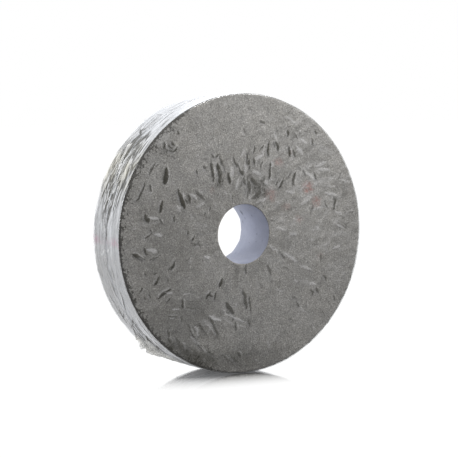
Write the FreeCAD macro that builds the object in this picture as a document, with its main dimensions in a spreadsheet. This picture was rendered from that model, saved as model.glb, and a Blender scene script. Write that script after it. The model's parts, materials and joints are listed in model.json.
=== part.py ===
import FreeCAD, Part
import os
import math
import Sketcher
from FreeCAD import Vector, Rotation, Placement

# Straight (flat-sided) bonded grinding wheel, sold in a clear shrink wrap.
#
# Frame: millimetres, origin at the middle of the bore, half way between the
# two faces. The axle runs along Y, the wheel stands on its rim, +Z is up.
# The front face looks towards -Y.
#
# Pieces, from the inside out:
#   bore_bush            thin liner that sizes the bore
#   abrasive_body        the bonded disc
#   shrink_film_front    film over the front face and the front half of the rim
#   shrink_film_back     film over the back face and the back half of the rim
#   film_edge_seam       weld line of the two plies, round the middle of the rim
#   film_corner_gathers  the four shrunk corners of the bag

doc = FreeCAD.newDocument("grinding_wheel")

# --------------------------------------------------------------------------
# driving dimensions
# --------------------------------------------------------------------------
DIMS = [
    # alias, value, what it is
    ("wheel_dia", 150.0, "outside diameter of the abrasive"),
    ("wheel_width", 30.0, "width over the two faces of the abrasive"),
    ("bore_dia", 32.0, "finished bore, inside the bush"),
    ("bush_wall", 0.6, "wall of the bush"),
    ("arris", 0.4, "broken outer edge of the abrasive"),
    ("film_thick", 0.3, "film, drawn thick enough to be a solid"),
    ("film_round", 0.45, "rounding of the film over the arris"),
    ("seam_half", 0.6, "half the width of the weld line"),
    ("gather_angle", 237.0, "place of the first gathered corner, degrees from +X to +Z"),
    ("gather_rise", 2.3, "how far a gathered corner stands off the film"),
    ("gather_width", 11.0, "width of a gathered corner along the axle"),
    ("gather_lead", 9.0, "degrees from a gather's highest line to its steep end"),
    ("gather_tail", 23.0, "degrees from a gather's highest line to its thin end"),
    ("gather_count", 4.0, "corners of the bag"),
]
sheet = doc.addObject("Spreadsheet::Sheet", "Dims")
for row, (alias, value, what) in enumerate(DIMS, start=1):
    sheet.set("A%d" % row, alias)
    sheet.set("B%d" % row, repr(value))
    sheet.set("C%d" % row, what)
    sheet.setAlias("B%d" % row, alias)
doc.recompute()


def dim(alias):
    return float(sheet.get(alias))


# --------------------------------------------------------------------------
# helpers
# --------------------------------------------------------------------------
def new_body(label):
    body = doc.addObject("PartDesign::Body", label)
    body.Label = label
    return body


def origin_feature(body, role):
    for feature in body.Origin.OriginFeatures:
        if feature.Role == role:
            return feature
    raise RuntimeError("no %s in %s" % (role, body.Label))


def new_sketch(body, name, role):
    sketch = body.newObject("Sketcher::SketchObject", name)
    sketch.AttachmentSupport = [(origin_feature(body, role), "")]
    sketch.MapMode = "FlatFace"
    return sketch


def closed_profile(sketch, corners):
    """A closed run of straight lines. corners holds, for each corner, its name,
    its two start values and the two expressions that fix its coordinates."""
    points = [Vector(c[1], c[2], 0) for c in corners]
    count = len(points)
    for i in range(count):
        sketch.addGeometry(Part.LineSegment(points[i], points[(i + 1) % count]), False)
    for i in range(count):
        sketch.addConstraint(
            Sketcher.Constraint("Coincident", i, 2, (i + 1) % count, 1)
        )
    for i, (name, x, y, ex, ey) in enumerate(corners):
        for kind, value, expression, axis in (
            ("DistanceX", x, ex, "x"),
            ("DistanceY", y, ey, "y"),
        ):
            index = sketch.addConstraint(
                Sketcher.Constraint(kind, -1, 1, i, 1, value)
            )
            label = "%s_%s" % (name, axis)
            sketch.renameConstraint(index, label)
            sketch.setExpression("Constraints." + label, expression)


def round_edges(shape, radius, offsets, tolerance=1e-4):
    """Names of the circular edges about the Y axis of this radius at these
    distances along Y."""
    names = []
    for i, edge in enumerate(shape.Edges, start=1):
        curve = edge.Curve
        if not isinstance(curve, Part.Circle):
            continue
        if abs(curve.Radius - radius) > tolerance:
            continue
        if any(abs(curve.Center.y - y) < tolerance for y in offsets):
            names.append("Edge%d" % i)
    return names


# --------------------------------------------------------------------------
# abrasive_body: a padded disc, a straight bore, then the broken arrises
# --------------------------------------------------------------------------
abrasive = new_body("abrasive_body")

disc = new_sketch(abrasive, "disc_outline", "XZ_Plane")
disc.addGeometry(Part.Circle(Vector(0, 0, 0), Vector(0, 0, 1), dim("wheel_dia") / 2), False)
disc.addConstraint(Sketcher.Constraint("Coincident", 0, 3, -1, 1))
index = disc.addConstraint(Sketcher.Constraint("Diameter", 0, dim("wheel_dia")))
disc.renameConstraint(index, "outside")
disc.setExpression("Constraints.outside", "Dims.wheel_dia")

disc_pad = abrasive.newObject("PartDesign::Pad", "disc_pad")
disc_pad.Profile = disc
disc_pad.SideType = "Symmetric"
disc_pad.setExpression("Length", "Dims.wheel_width")
doc.recompute()

seat = new_sketch(abrasive, "bush_seat_outline", "XZ_Plane")
seat_dia = dim("bore_dia") + 2 * dim("bush_wall")
seat.addGeometry(Part.Circle(Vector(0, 0, 0), Vector(0, 0, 1), seat_dia / 2), False)
seat.addConstraint(Sketcher.Constraint("Coincident", 0, 3, -1, 1))
index = seat.addConstraint(Sketcher.Constraint("Diameter", 0, seat_dia))
seat.renameConstraint(index, "seat")
seat.setExpression("Constraints.seat", "Dims.bore_dia + 2 * Dims.bush_wall")

seat_pocket = abrasive.newObject("PartDesign::Pocket", "bush_seat_pocket")
seat_pocket.Profile = seat
seat_pocket.Type = "ThroughAll"
seat_pocket.SideType = "Symmetric"
before = disc_pad.Shape.Volume
doc.recompute()
cut = before - seat_pocket.Shape.Volume
wanted = math.pi * (seat_dia / 2) ** 2 * dim("wheel_width")
if abs(cut - wanted) > 1.0:
    raise RuntimeError("the bush seat removed %.1f mm3, not %.1f" % (cut, wanted))

outer_arris = abrasive.newObject("PartDesign::Chamfer", "outer_arris")
edges = round_edges(
    seat_pocket.Shape,
    dim("wheel_dia") / 2,
    (-dim("wheel_width") / 2, dim("wheel_width") / 2),
)
if len(edges) != 2:
    raise RuntimeError("expected two rim edges, found %s" % edges)
outer_arris.Base = (seat_pocket, edges)
outer_arris.ChamferType = "Equal distance"
outer_arris.setExpression("Size", "Dims.arris")
abrasive.Tip = outer_arris
doc.recompute()

# --------------------------------------------------------------------------
# bore_bush: a thin revolved sleeve, flush with both faces
# --------------------------------------------------------------------------
bush = new_body("bore_bush")
section = new_sketch(bush, "bush_section", "XY_Plane")
r_in = dim("bore_dia") / 2
r_out = r_in + dim("bush_wall")
y_end = dim("wheel_width") / 2
E_IN = "Dims.bore_dia / 2"
E_OUT = "Dims.bore_dia / 2 + Dims.bush_wall"
E_END = "(Dims.wheel_width / 2)"
closed_profile(
    section,
    [
        ("front_out", r_out, -y_end, E_OUT, "-" + E_END),
        ("back_out", r_out, y_end, E_OUT, E_END),
        ("back_in", r_in, y_end, E_IN, E_END),
        ("front_in", r_in, -y_end, E_IN, "-" + E_END),
    ],
)
sleeve = bush.newObject("PartDesign::Revolution", "bush_sleeve")
sleeve.Profile = section
sleeve.ReferenceAxis = (section, ["V_Axis"])
sleeve.Angle = 360.0
doc.recompute()


# --------------------------------------------------------------------------
# shrink film: one revolved shell per ply, from the edge of the hole, cut flush
# with the bore, over the face and the arris, to the weld line on the rim. It
# touches the abrasive all over.
# --------------------------------------------------------------------------
def film_ply(label, side):
    """side is -1 for the front ply and 1 for the back one."""
    body = new_body(label)
    profile = new_sketch(body, label + "_section", "XY_Plane")
    sign = "-" if side < 0 else ""
    radius = dim("wheel_dia") / 2
    half = dim("wheel_width") / 2
    hole = dim("bore_dia") / 2
    thick = dim("film_thick")
    broken = dim("arris")
    seam = dim("seam_half")
    e_hole = "Dims.bore_dia / 2"
    closed_profile(
        profile,
        [
            ("hole_in", hole, side * half, e_hole, sign + "(Dims.wheel_width / 2)"),
            (
                "face_in",
                radius - broken,
                side * half,
                "Dims.wheel_dia / 2 - Dims.arris",
                sign + "(Dims.wheel_width / 2)",
            ),
            (
                "rim_in",
                radius,
                side * (half - broken),
                "Dims.wheel_dia / 2",
                sign + "(Dims.wheel_width / 2 - Dims.arris)",
            ),
            ("seam_in", radius, side * seam, "Dims.wheel_dia / 2", sign + "(Dims.seam_half)"),
            (
                "seam_out",
                radius + thick,
                side * seam,
                "Dims.wheel_dia / 2 + Dims.film_thick",
                sign + "(Dims.seam_half)",
            ),
            (
                "corner_out",
                radius + thick,
                side * (half + thick),
                "Dims.wheel_dia / 2 + Dims.film_thick",
                sign + "(Dims.wheel_width / 2 + Dims.film_thick)",
            ),
            (
                "hole_out",
                hole,
                side * (half + thick),
                e_hole,
                sign + "(Dims.wheel_width / 2 + Dims.film_thick)",
            ),
        ],
    )
    shell = body.newObject("PartDesign::Revolution", label + "_shell")
    shell.Profile = profile
    shell.ReferenceAxis = (profile, ["V_Axis"])
    shell.Angle = 360.0
    doc.recompute()
    # the film rounds the arris
    rounding = body.newObject("PartDesign::Fillet", label + "_rounding")
    names = round_edges(shell.Shape, radius + thick, (side * (half + thick),))
    if len(names) != 1:
        raise RuntimeError("expected one outer film edge, found %s" % names)
    rounding.Base = (shell, names)
    rounding.setExpression("Radius", "Dims.film_round")
    body.Tip = rounding
    doc.recompute()
    return body


film_front = film_ply("shrink_film_front", -1)
film_back = film_ply("shrink_film_back", 1)

# --------------------------------------------------------------------------
# film_edge_seam: the weld line between the two plies
# --------------------------------------------------------------------------
seam_ring = new_body("film_edge_seam")
seam_section = new_sketch(seam_ring, "seam_section", "XY_Plane")
r0 = dim("wheel_dia") / 2
r1 = r0 + dim("film_thick")
w = dim("seam_half")
E_R0 = "Dims.wheel_dia / 2"
E_R1 = "Dims.wheel_dia / 2 + Dims.film_thick"
closed_profile(
    seam_section,
    [
        ("front_in", r0, -w, E_R0, "-(Dims.seam_half)"),
        ("front_out", r1, -w, E_R1, "-(Dims.seam_half)"),
        ("back_out", r1, w, E_R1, "Dims.seam_half"),
        ("back_in", r0, w, E_R0, "Dims.seam_half"),
    ],
)
seam_turn = seam_ring.newObject("PartDesign::Revolution", "seam_turn")
seam_turn.Profile = seam_section
seam_turn.ReferenceAxis = (seam_section, ["V_Axis"])
seam_turn.Angle = 360.0
doc.recompute()

# --------------------------------------------------------------------------
# film_corner_gathers: one low, lopsided hump of bunched film on the rim,
# repeated at the four corners of the bag. It is drawn about +X and turned to
# its place by the body's placement.
# --------------------------------------------------------------------------
gathers = new_body("film_corner_gathers")
hump = new_sketch(gathers, "gather_outline", "XZ_Plane")
rise = dim("gather_rise")
a_lead = -math.radians(dim("gather_lead"))
a_tail = math.radians(dim("gather_tail"))


def polar(radius, angle):
    return Vector(radius * math.cos(angle), radius * math.sin(angle), 0)


# corner: share of the lead (negative) or tail (positive) angle, share of rise
HUMP = [
    ("steep_foot", -1.0, 0.0),
    ("steep_top", -0.55, 0.8),
    ("crest", 0.0, 1.0),
    ("shoulder", 0.42, 0.62),
    ("thin_foot", 1.0, 0.0),
]


def hump_angle(share):
    return share * dim("gather_lead") if share < 0 else share * dim("gather_tail")


points = [
    polar(r1 + share_r * rise, math.radians(hump_angle(share_a)))
    for _, share_a, share_r in HUMP
]
for a, b in zip(points, points[1:]):
    hump.addGeometry(Part.LineSegment(a, b), False)
arc_id = len(points) - 1
hump.addGeometry(
    Part.ArcOfCircle(
        Part.Circle(Vector(0, 0, 0), Vector(0, 0, 1), r1), a_lead, a_tail
    ),
    False,
)
for i in range(arc_id - 1):
    hump.addConstraint(Sketcher.Constraint("Coincident", i, 2, i + 1, 1))
hump.addConstraint(Sketcher.Constraint("Coincident", arc_id, 3, -1, 1))
hump.addConstraint(Sketcher.Constraint("Coincident", arc_id, 1, 0, 1))
hump.addConstraint(Sketcher.Constraint("Coincident", arc_id, 2, arc_id - 1, 2))
index = hump.addConstraint(Sketcher.Constraint("Radius", arc_id, r1))
hump.renameConstraint(index, "foot_radius")
hump.setExpression("Constraints.foot_radius", E_R1)
for i, (name, share_a, share_r) in enumerate(HUMP):
    which = "gather_lead" if share_a < 0 else "gather_tail"
    line, end = (i, 1) if i < arc_id else (arc_id - 1, 2)
    height = points[i].y
    e_angle = "(%r * Dims.%s * 1deg)" % (share_a, which)
    e_radius = "(Dims.wheel_dia / 2 + Dims.film_thick + %r * Dims.gather_rise)" % share_r
    if abs(height) < 1e-9:
        # on the X axis
        hump.addConstraint(Sketcher.Constraint("PointOnObject", line, end, -1))
    else:
        index = hump.addConstraint(
            Sketcher.Constraint("DistanceY", -1, 1, line, end, height)
        )
        hump.renameConstraint(index, name + "_y")
        hump.setExpression(
            "Constraints." + name + "_y", "%s * sin(%s)" % (e_radius, e_angle)
        )
    if share_r > 0:
        # the feet lie on the arc, so only the raised corners need this
        index = hump.addConstraint(
            Sketcher.Constraint("DistanceX", -1, 1, line, end, points[i].x)
        )
        hump.renameConstraint(index, name + "_x")
        hump.setExpression(
            "Constraints." + name + "_x", "%s * cos(%s)" % (e_radius, e_angle)
        )
doc.recompute()

hump_pad = gathers.newObject("PartDesign::Pad", "gather_pad")
hump_pad.Profile = hump
hump_pad.SideType = "Symmetric"
hump_pad.setExpression("Length", "Dims.gather_width")
doc.recompute()

corners = gathers.newObject("PartDesign::PolarPattern", "four_corners")
corners.Originals = [hump_pad]
corners.Axis = (origin_feature(gathers, "Y_Axis"), [""])
corners.Angle = 360.0
corners.setExpression("Occurrences", "Dims.gather_count")
gathers.Tip = corners
doc.recompute()
gathers.Placement = Placement(
    Vector(0, 0, 0), Rotation(Vector(0, 1, 0), -dim("gather_angle"))
)
doc.recompute()

# --------------------------------------------------------------------------
# checks, then one STEP file per piece
# --------------------------------------------------------------------------
for obj in doc.Objects:
    bad = [s for s in obj.State if s in ("Invalid", "Error")]
    if bad:
        raise RuntimeError("%s is %s" % (obj.Label, bad))

BODIES = [
    (abrasive, 1),
    (bush, 1),
    (film_front, 1),
    (film_back, 1),
    (seam_ring, 1),
    (gathers, 4),
]
for body, solids in BODIES:
    shape = body.Shape
    if shape.isNull() or not shape.isValid():
        raise RuntimeError("%s has a bad shape" % body.Label)
    if len(shape.Solids) != solids:
        raise RuntimeError("%s has %d solids" % (body.Label, len(shape.Solids)))

for i, (first, _) in enumerate(BODIES):
    for second, _ in BODIES[i + 1 :]:
        shared = first.Shape.common(second.Shape).Volume
        if shared > 0.01:
            raise RuntimeError(
                "%s and %s share %.3f mm3" % (first.Label, second.Label, shared)
            )

os.makedirs("parts", exist_ok=True)
for body, _ in BODIES:
    path = os.path.join("parts", body.Label + ".step")
    body.Shape.exportStep(path)
    box = body.Shape.BoundBox
    print(
        "%-20s %10.1f mm3  x %.2f..%.2f  y %.2f..%.2f  z %.2f..%.2f"
        % (
            body.Label,
            body.Shape.Volume,
            box.XMin,
            box.XMax,
            box.YMin,
            box.YMax,
            box.ZMin,
            box.ZMax,
        )
    )
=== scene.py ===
import json
import math

import bpy
import numpy as np
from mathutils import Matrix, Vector


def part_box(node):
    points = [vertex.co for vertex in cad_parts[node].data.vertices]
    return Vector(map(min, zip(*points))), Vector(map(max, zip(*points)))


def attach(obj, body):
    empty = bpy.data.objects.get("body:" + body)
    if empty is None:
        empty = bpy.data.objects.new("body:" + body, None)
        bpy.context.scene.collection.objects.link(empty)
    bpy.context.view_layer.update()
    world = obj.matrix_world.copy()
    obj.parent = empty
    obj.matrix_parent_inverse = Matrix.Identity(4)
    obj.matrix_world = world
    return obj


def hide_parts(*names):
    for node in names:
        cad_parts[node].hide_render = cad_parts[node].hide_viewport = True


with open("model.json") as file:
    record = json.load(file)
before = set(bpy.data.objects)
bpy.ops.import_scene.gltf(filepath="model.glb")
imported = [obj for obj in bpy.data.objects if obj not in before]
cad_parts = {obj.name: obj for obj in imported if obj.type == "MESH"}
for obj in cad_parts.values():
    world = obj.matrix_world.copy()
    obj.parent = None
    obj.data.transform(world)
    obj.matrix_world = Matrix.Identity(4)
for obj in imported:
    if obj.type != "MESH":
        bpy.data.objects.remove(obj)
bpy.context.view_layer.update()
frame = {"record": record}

# ---------------------------------------------------------------------------
# sizes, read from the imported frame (millimetres here, metres in the meshes)
# ---------------------------------------------------------------------------
MM = 0.001
_lo, _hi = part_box("abrasive_body")
R_WHEEL = _hi.x / MM                      # 75
HALF_W = _hi.y / MM                       # 15
_lo, _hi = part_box("bore_bush")
R_SEAT = _hi.x / MM                       # 16.6
R_BORE = frame["record"]["mounts"][0]["dims"]["r_mm"]   # 16
_lo, _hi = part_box("film_edge_seam")
R_FILM = _hi.x / MM                       # 75.3
FLOOR_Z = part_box("shrink_film_front")[0].z
GATHERS = (57.0, 147.0, 237.0, 327.0)     # places of the four bag corners, degrees


# ---------------------------------------------------------------------------
# seeded noise on arrays
# ---------------------------------------------------------------------------
def _hash(ix, iy, iz, seed):
    h = (
        ix.astype(np.uint32) * np.uint32(374761393)
        + iy.astype(np.uint32) * np.uint32(668265263)
        + iz.astype(np.uint32) * np.uint32(2147483647)
        + np.uint32(seed * 1274126177 & 0xFFFFFFFF)
    )
    h ^= h >> np.uint32(13)
    h *= np.uint32(1274126177)
    h ^= h >> np.uint32(16)
    h *= np.uint32(2246822519)
    h ^= h >> np.uint32(15)
    return h.astype(np.float64) / 4294967295.0 * 2 - 1


def noise(x, y, z=None, seed=1):
    """Smooth value noise from -1 to 1."""
    x = np.asarray(x, float)
    y = np.asarray(y, float)
    z = np.zeros_like(x) if z is None else np.asarray(z, float)
    x, y, z = np.broadcast_arrays(x + 1000.0, y + 1000.0, z + 1000.0)
    fx, fy, fz = np.floor(x), np.floor(y), np.floor(z)
    tx, ty, tz = x - fx, y - fy, z - fz
    ix, iy, iz = fx.astype(np.int64), fy.astype(np.int64), fz.astype(np.int64)
    tx, ty, tz = (t * t * t * (t * (t * 6 - 15) + 10) for t in (tx, ty, tz))
    out = 0.0
    for dx in (0, 1):
        for dy in (0, 1):
            for dz in (0, 1):
                w = (
                    (tx if dx else 1 - tx)
                    * (ty if dy else 1 - ty)
                    * (tz if dz else 1 - tz)
                )
                out = out + w * _hash(ix + dx, iy + dy, iz + dz, seed)
    return out


def fbm(x, y, z=None, seed=1, octaves=4, gain=0.5):
    total, amp, norm = 0.0, 1.0, 0.0
    f = 1.0
    for k in range(octaves):
        total = total + amp * noise(
            np.asarray(x) * f, np.asarray(y) * f, None if z is None else np.asarray(z) * f, seed + 17 * k
        )
        norm += amp
        amp *= gain
        f *= 2.03
    return total / norm


def smooth(a, b, x):
    t = np.clip((x - a) / (b - a), 0, 1)
    return t * t * (3 - 2 * t)


def turn(d):
    """An angle in degrees brought to -180..180."""
    return (d + 180.0) % 360.0 - 180.0


# ---------------------------------------------------------------------------
# meshes made of rings about the Y axis
# ---------------------------------------------------------------------------
class Rings:
    """Vertices in rings about the Y axis; neighbouring rings may have different
    counts. Faces are quads between equal rings and triangles elsewhere."""

    def __init__(self):
        self.r, self.y, self.t, self.nr, self.ny, self.tag = [], [], [], [], [], []
        self.rings = []
        self.faces = []
        self.count = 0

    def ring(self, r, y, nr, ny, n, tag=0.0):
        t = np.arange(n) / n * 2 * math.pi
        self.r.append(np.full(n, float(r)))
        self.y.append(np.full(n, float(y)))
        self.t.append(t)
        self.nr.append(np.full(n, float(nr)))
        self.ny.append(np.full(n, float(ny)))
        self.tag.append(np.full(n, float(tag)))
        self.rings.append((self.count, n))
        self.count += n
        return len(self.rings) - 1

    def join(self, a, b):
        """Faces between ring a and ring b, facing so that going a to b and then
        round in +theta keeps one side out (flipped as a whole later if needed)."""
        sa, na = self.rings[a]
        sb, nb = self.rings[b]
        if na == nb:
            for j in range(na):
                k = (j + 1) % na
                self.faces.append((sa + j, sa + k, sb + k, sb + j))
            return
        i = j = 0
        while i < na or j < nb:
            ta = (i + 1) / na if i < na else 9.0
            tb = (j + 1) / nb if j < nb else 9.0
            if ta <= tb:
                self.faces.append((sa + i % na, sa + (i + 1) % na, sb + j % nb))
                i += 1
            else:
                self.faces.append((sa + i % na, sb + (j + 1) % nb, sb + j % nb))
                j += 1

    def arrays(self):
        return [np.concatenate(v) for v in (self.r, self.y, self.t, self.nr, self.ny, self.tag)]


def count_for(r, step, block=24):
    return max(block * 2, int(round(2 * math.pi * r / step / block)) * block)


def make_object(name, co, faces, material, flip=False, attributes=None, smooth_shade=True):
    if flip:
        faces = [tuple(reversed(f)) for f in faces]
    mesh = bpy.data.meshes.new(name)
    mesh.from_pydata([tuple(p) for p in (co * MM).tolist()], [], faces)
    mesh.validate()
    if smooth_shade:
        mesh.polygons.foreach_set("use_smooth", [True] * len(mesh.polygons))
    for key, values in (attributes or {}).items():
        layer = mesh.attributes.new(key, "FLOAT", "POINT")
        layer.data.foreach_set("value", np.asarray(values, np.float32))
    mesh.update()
    obj = bpy.data.objects.new(name, mesh)
    bpy.context.scene.collection.objects.link(obj)
    obj.data.materials.append(material)
    return obj


def signed_volume(co, faces):
    v = 0.0
    tri = []
    for f in faces:
        for k in range(1, len(f) - 1):
            tri.append((f[0], f[k], f[k + 1]))
    tri = np.array(tri)
    a, b, c = co[tri[:, 0]], co[tri[:, 1]], co[tri[:, 2]]
    return float((a * np.cross(b, c)).sum() / 6)


# ---------------------------------------------------------------------------
# material helpers
# ---------------------------------------------------------------------------
class Nodes:
    def __init__(self, name):
        self.mat = bpy.data.materials.new(name)
        self.mat.use_nodes = True
        self.tree = self.mat.node_tree
        self.tree.nodes.clear()
        self.out = self.add("ShaderNodeOutputMaterial")

    def add(self, kind, **values):
        n = self.tree.nodes.new(kind)
        for k, v in values.items():
            if hasattr(n, k) and k not in n.inputs:
                setattr(n, k, v)
            else:
                n.inputs[k].default_value = v
        return n

    def link(self, a, b):
        self.tree.links.new(a, b)

    def coords(self, scale=(1, 1, 1)):
        tc = self.add("ShaderNodeTexCoord")
        mp = self.add("ShaderNodeMapping")
        mp.inputs["Scale"].default_value = scale
        self.link(tc.outputs["Object"], mp.inputs["Vector"])
        return mp.outputs["Vector"]

    def noise(self, vec, scale, detail=3.0, rough=0.5):
        n = self.add("ShaderNodeTexNoise")
        n.inputs["Scale"].default_value = scale
        n.inputs["Detail"].default_value = detail
        n.inputs["Roughness"].default_value = rough
        self.link(vec, n.inputs["Vector"])
        return n.outputs["Fac"]

    def ramp(self, fac, stops, interpolation="LINEAR"):
        n = self.add("ShaderNodeValToRGB")
        n.color_ramp.interpolation = interpolation
        while len(n.color_ramp.elements) > 1:
            n.color_ramp.elements.remove(n.color_ramp.elements[-1])
        first = True
        for pos, col in stops:
            if len(col) == 3:
                col = (*col, 1)
            if first:
                e = n.color_ramp.elements[0]
                e.position = pos
                first = False
            else:
                e = n.color_ramp.elements.new(pos)
            e.color = col
        self.link(fac, n.inputs["Fac"])
        return n.outputs["Color"]

    def math(self, op, a, b=None, clamp=False):
        n = self.add("ShaderNodeMath")
        n.operation = op
        n.use_clamp = clamp
        for k, v in enumerate((a, b)):
            if v is None:
                continue
            if isinstance(v, (int, float)):
                n.inputs[k].default_value = v
            else:
                self.link(v, n.inputs[k])
        return n.outputs[0]

    def mix(self, fac, a, b, blend="MIX"):
        n = self.add("ShaderNodeMix")
        n.data_type = "RGBA"
        n.blend_type = blend
        for sock, v in (("Factor", fac), ("A", a), ("B", b)):
            s = [i for i in n.inputs if i.name == sock and i.enabled and i.type == ("VALUE" if sock == "Factor" else "RGBA")][0]
            if isinstance(v, (int, float)):
                s.default_value = v
            elif isinstance(v, tuple):
                s.default_value = (*v, 1) if len(v) == 3 else v
            else:
                self.link(v, s)
        return [o for o in n.outputs if o.enabled and o.type == "RGBA"][0]

    def attr(self, name):
        n = self.add("ShaderNodeAttribute")
        n.attribute_name = name
        return n.outputs["Fac"]

    def shader_mix(self, fac, a, b):
        n = self.add("ShaderNodeMixShader")
        if isinstance(fac, (int, float)):
            n.inputs[0].default_value = fac
        else:
            self.link(fac, n.inputs[0])
        self.link(a, n.inputs[1])
        self.link(b, n.inputs[2])
        return n.outputs[0]

    def bump(self, height, strength, distance, normal=None):
        n = self.add("ShaderNodeBump")
        n.inputs["Strength"].default_value = strength
        n.inputs["Distance"].default_value = distance
        self.link(height, n.inputs["Height"])
        if normal is not None:
            self.link(normal, n.inputs["Normal"])
        return n.outputs["Normal"]


# ---------------------------------------------------------------------------
# materials
# ---------------------------------------------------------------------------
def abrasive_material():
    m = Nodes("abrasive_grit")
    p = m.coords()
    grit = m.noise(p, 1350.0, 1.5, 0.55)         # grains, well under a millimetre
    fine = m.noise(p, 2300.0, 1.0, 0.5)
    cloud = m.noise(p, 55.0, 3.0, 0.55)
    mid = m.noise(p, 330.0, 2.0, 0.5)
    base = m.ramp(grit, [(0.22, (0.110, 0.105, 0.095)), (0.40, (0.196, 0.191, 0.182)), (0.50, (0.226, 0.221, 0.212)), (0.60, (0.258, 0.253, 0.244)), (0.78, (0.40, 0.393, 0.38))])
    speck = m.ramp(fine, [(0.27, (0.50, 0.49, 0.47)), (0.40, (0.95, 0.95, 0.95)), (0.62, (1.03, 1.03, 1.03)), (0.74, (1.55, 1.54, 1.51))])
    base = m.mix(1.0, base, speck, "MULTIPLY")
    base = m.mix(1.0, base, m.ramp(cloud, [(0.30, (0.90, 0.90, 0.90)), (0.70, (1.08, 1.075, 1.07))]), "MULTIPLY")
    base = m.mix(1.0, base, m.ramp(mid, [(0.32, (0.88, 0.88, 0.88)), (0.68, (1.09, 1.09, 1.08))]), "MULTIPLY")
    rust = m.math("MULTIPLY", m.attr("stain"), m.ramp(m.noise(p, 620.0, 2.0, 0.6), [(0.38, (0.25, 0.25, 0.25)), (0.58, (1, 1, 1))]), clamp=True)
    base = m.mix(rust, base, (0.30, 0.125, 0.105))
    # near-black pits along the arris: chipped grit, and partly painted shade in the chip hollows
    pits = m.math("SUBTRACT", m.noise(p, 820.0, 2.0, 0.6), m.math("SUBTRACT", 0.665, m.math("MULTIPLY", m.attr("chips_and_hollow_shade"), 0.34)))
    pits = m.math("MULTIPLY", m.math("MULTIPLY", pits, 16.0, clamp=True), m.math("MULTIPLY", m.attr("chips_and_hollow_shade"), 6.0, clamp=True), clamp=True)
    base = m.mix(m.math("MULTIPLY", pits, 0.90), base, (0.030, 0.027, 0.020))
    b = m.add("ShaderNodeBsdfPrincipled")
    m.link(base, b.inputs["Base Color"])
    rough = m.ramp(grit, [(0.3, (0.95, 0.95, 0.95)), (0.75, (0.72, 0.72, 0.72))])
    m.link(rough, b.inputs["Roughness"])
    b.inputs["Specular IOR Level"].default_value = 0.25
    n1 = m.bump(grit, 0.45, 0.00030)
    n2 = m.bump(fine, 0.30, 0.00015, n1)
    m.link(n2, b.inputs["Normal"])
    m.link(b.outputs[0], m.out.inputs[0])
    return m.mat


def bush_material():
    m = Nodes("bush_plastic")
    p = m.coords()
    cloud = m.noise(p, 140.0, 3.0, 0.5)
    fine = m.noise(p, 900.0, 2.0, 0.5)
    turned = m.noise(m.coords((60, 1500, 60)), 1.0, 2.0, 0.5)
    col = m.ramp(cloud, [(0.30, (0.385, 0.408, 0.505)), (0.70, (0.432, 0.456, 0.556))])
    col = m.mix(1.0, col, m.ramp(fine, [(0.30, (0.93, 0.93, 0.94)), (0.70, (1.04, 1.04, 1.03))]), "MULTIPLY")
    dots = m.noise(p, 420.0, 1.0, 0.4)
    spot = m.ramp(dots, [(0.735, (1, 1, 1)), (0.765, (0.62, 0.63, 0.66))])
    col = m.mix(1.0, col, spot, "MULTIPLY")
    # dark specks, and painted shade along the bottom and at the back end of the bore
    col = m.mix(m.attr("specks_and_painted_shade"), col, (0.06, 0.07, 0.11))
    b = m.add("ShaderNodeBsdfPrincipled")
    m.link(col, b.inputs["Base Color"])
    m.link(m.ramp(turned, [(0.3, (0.42, 0.42, 0.42)), (0.7, (0.58, 0.58, 0.58))]), b.inputs["Roughness"])
    b.inputs["Specular IOR Level"].default_value = 0.4
    m.link(m.bump(turned, 0.10, 0.0001, m.bump(cloud, 0.15, 0.0002)), b.inputs["Normal"])
    m.link(b.outputs[0], m.out.inputs[0])
    return m.mat


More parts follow.
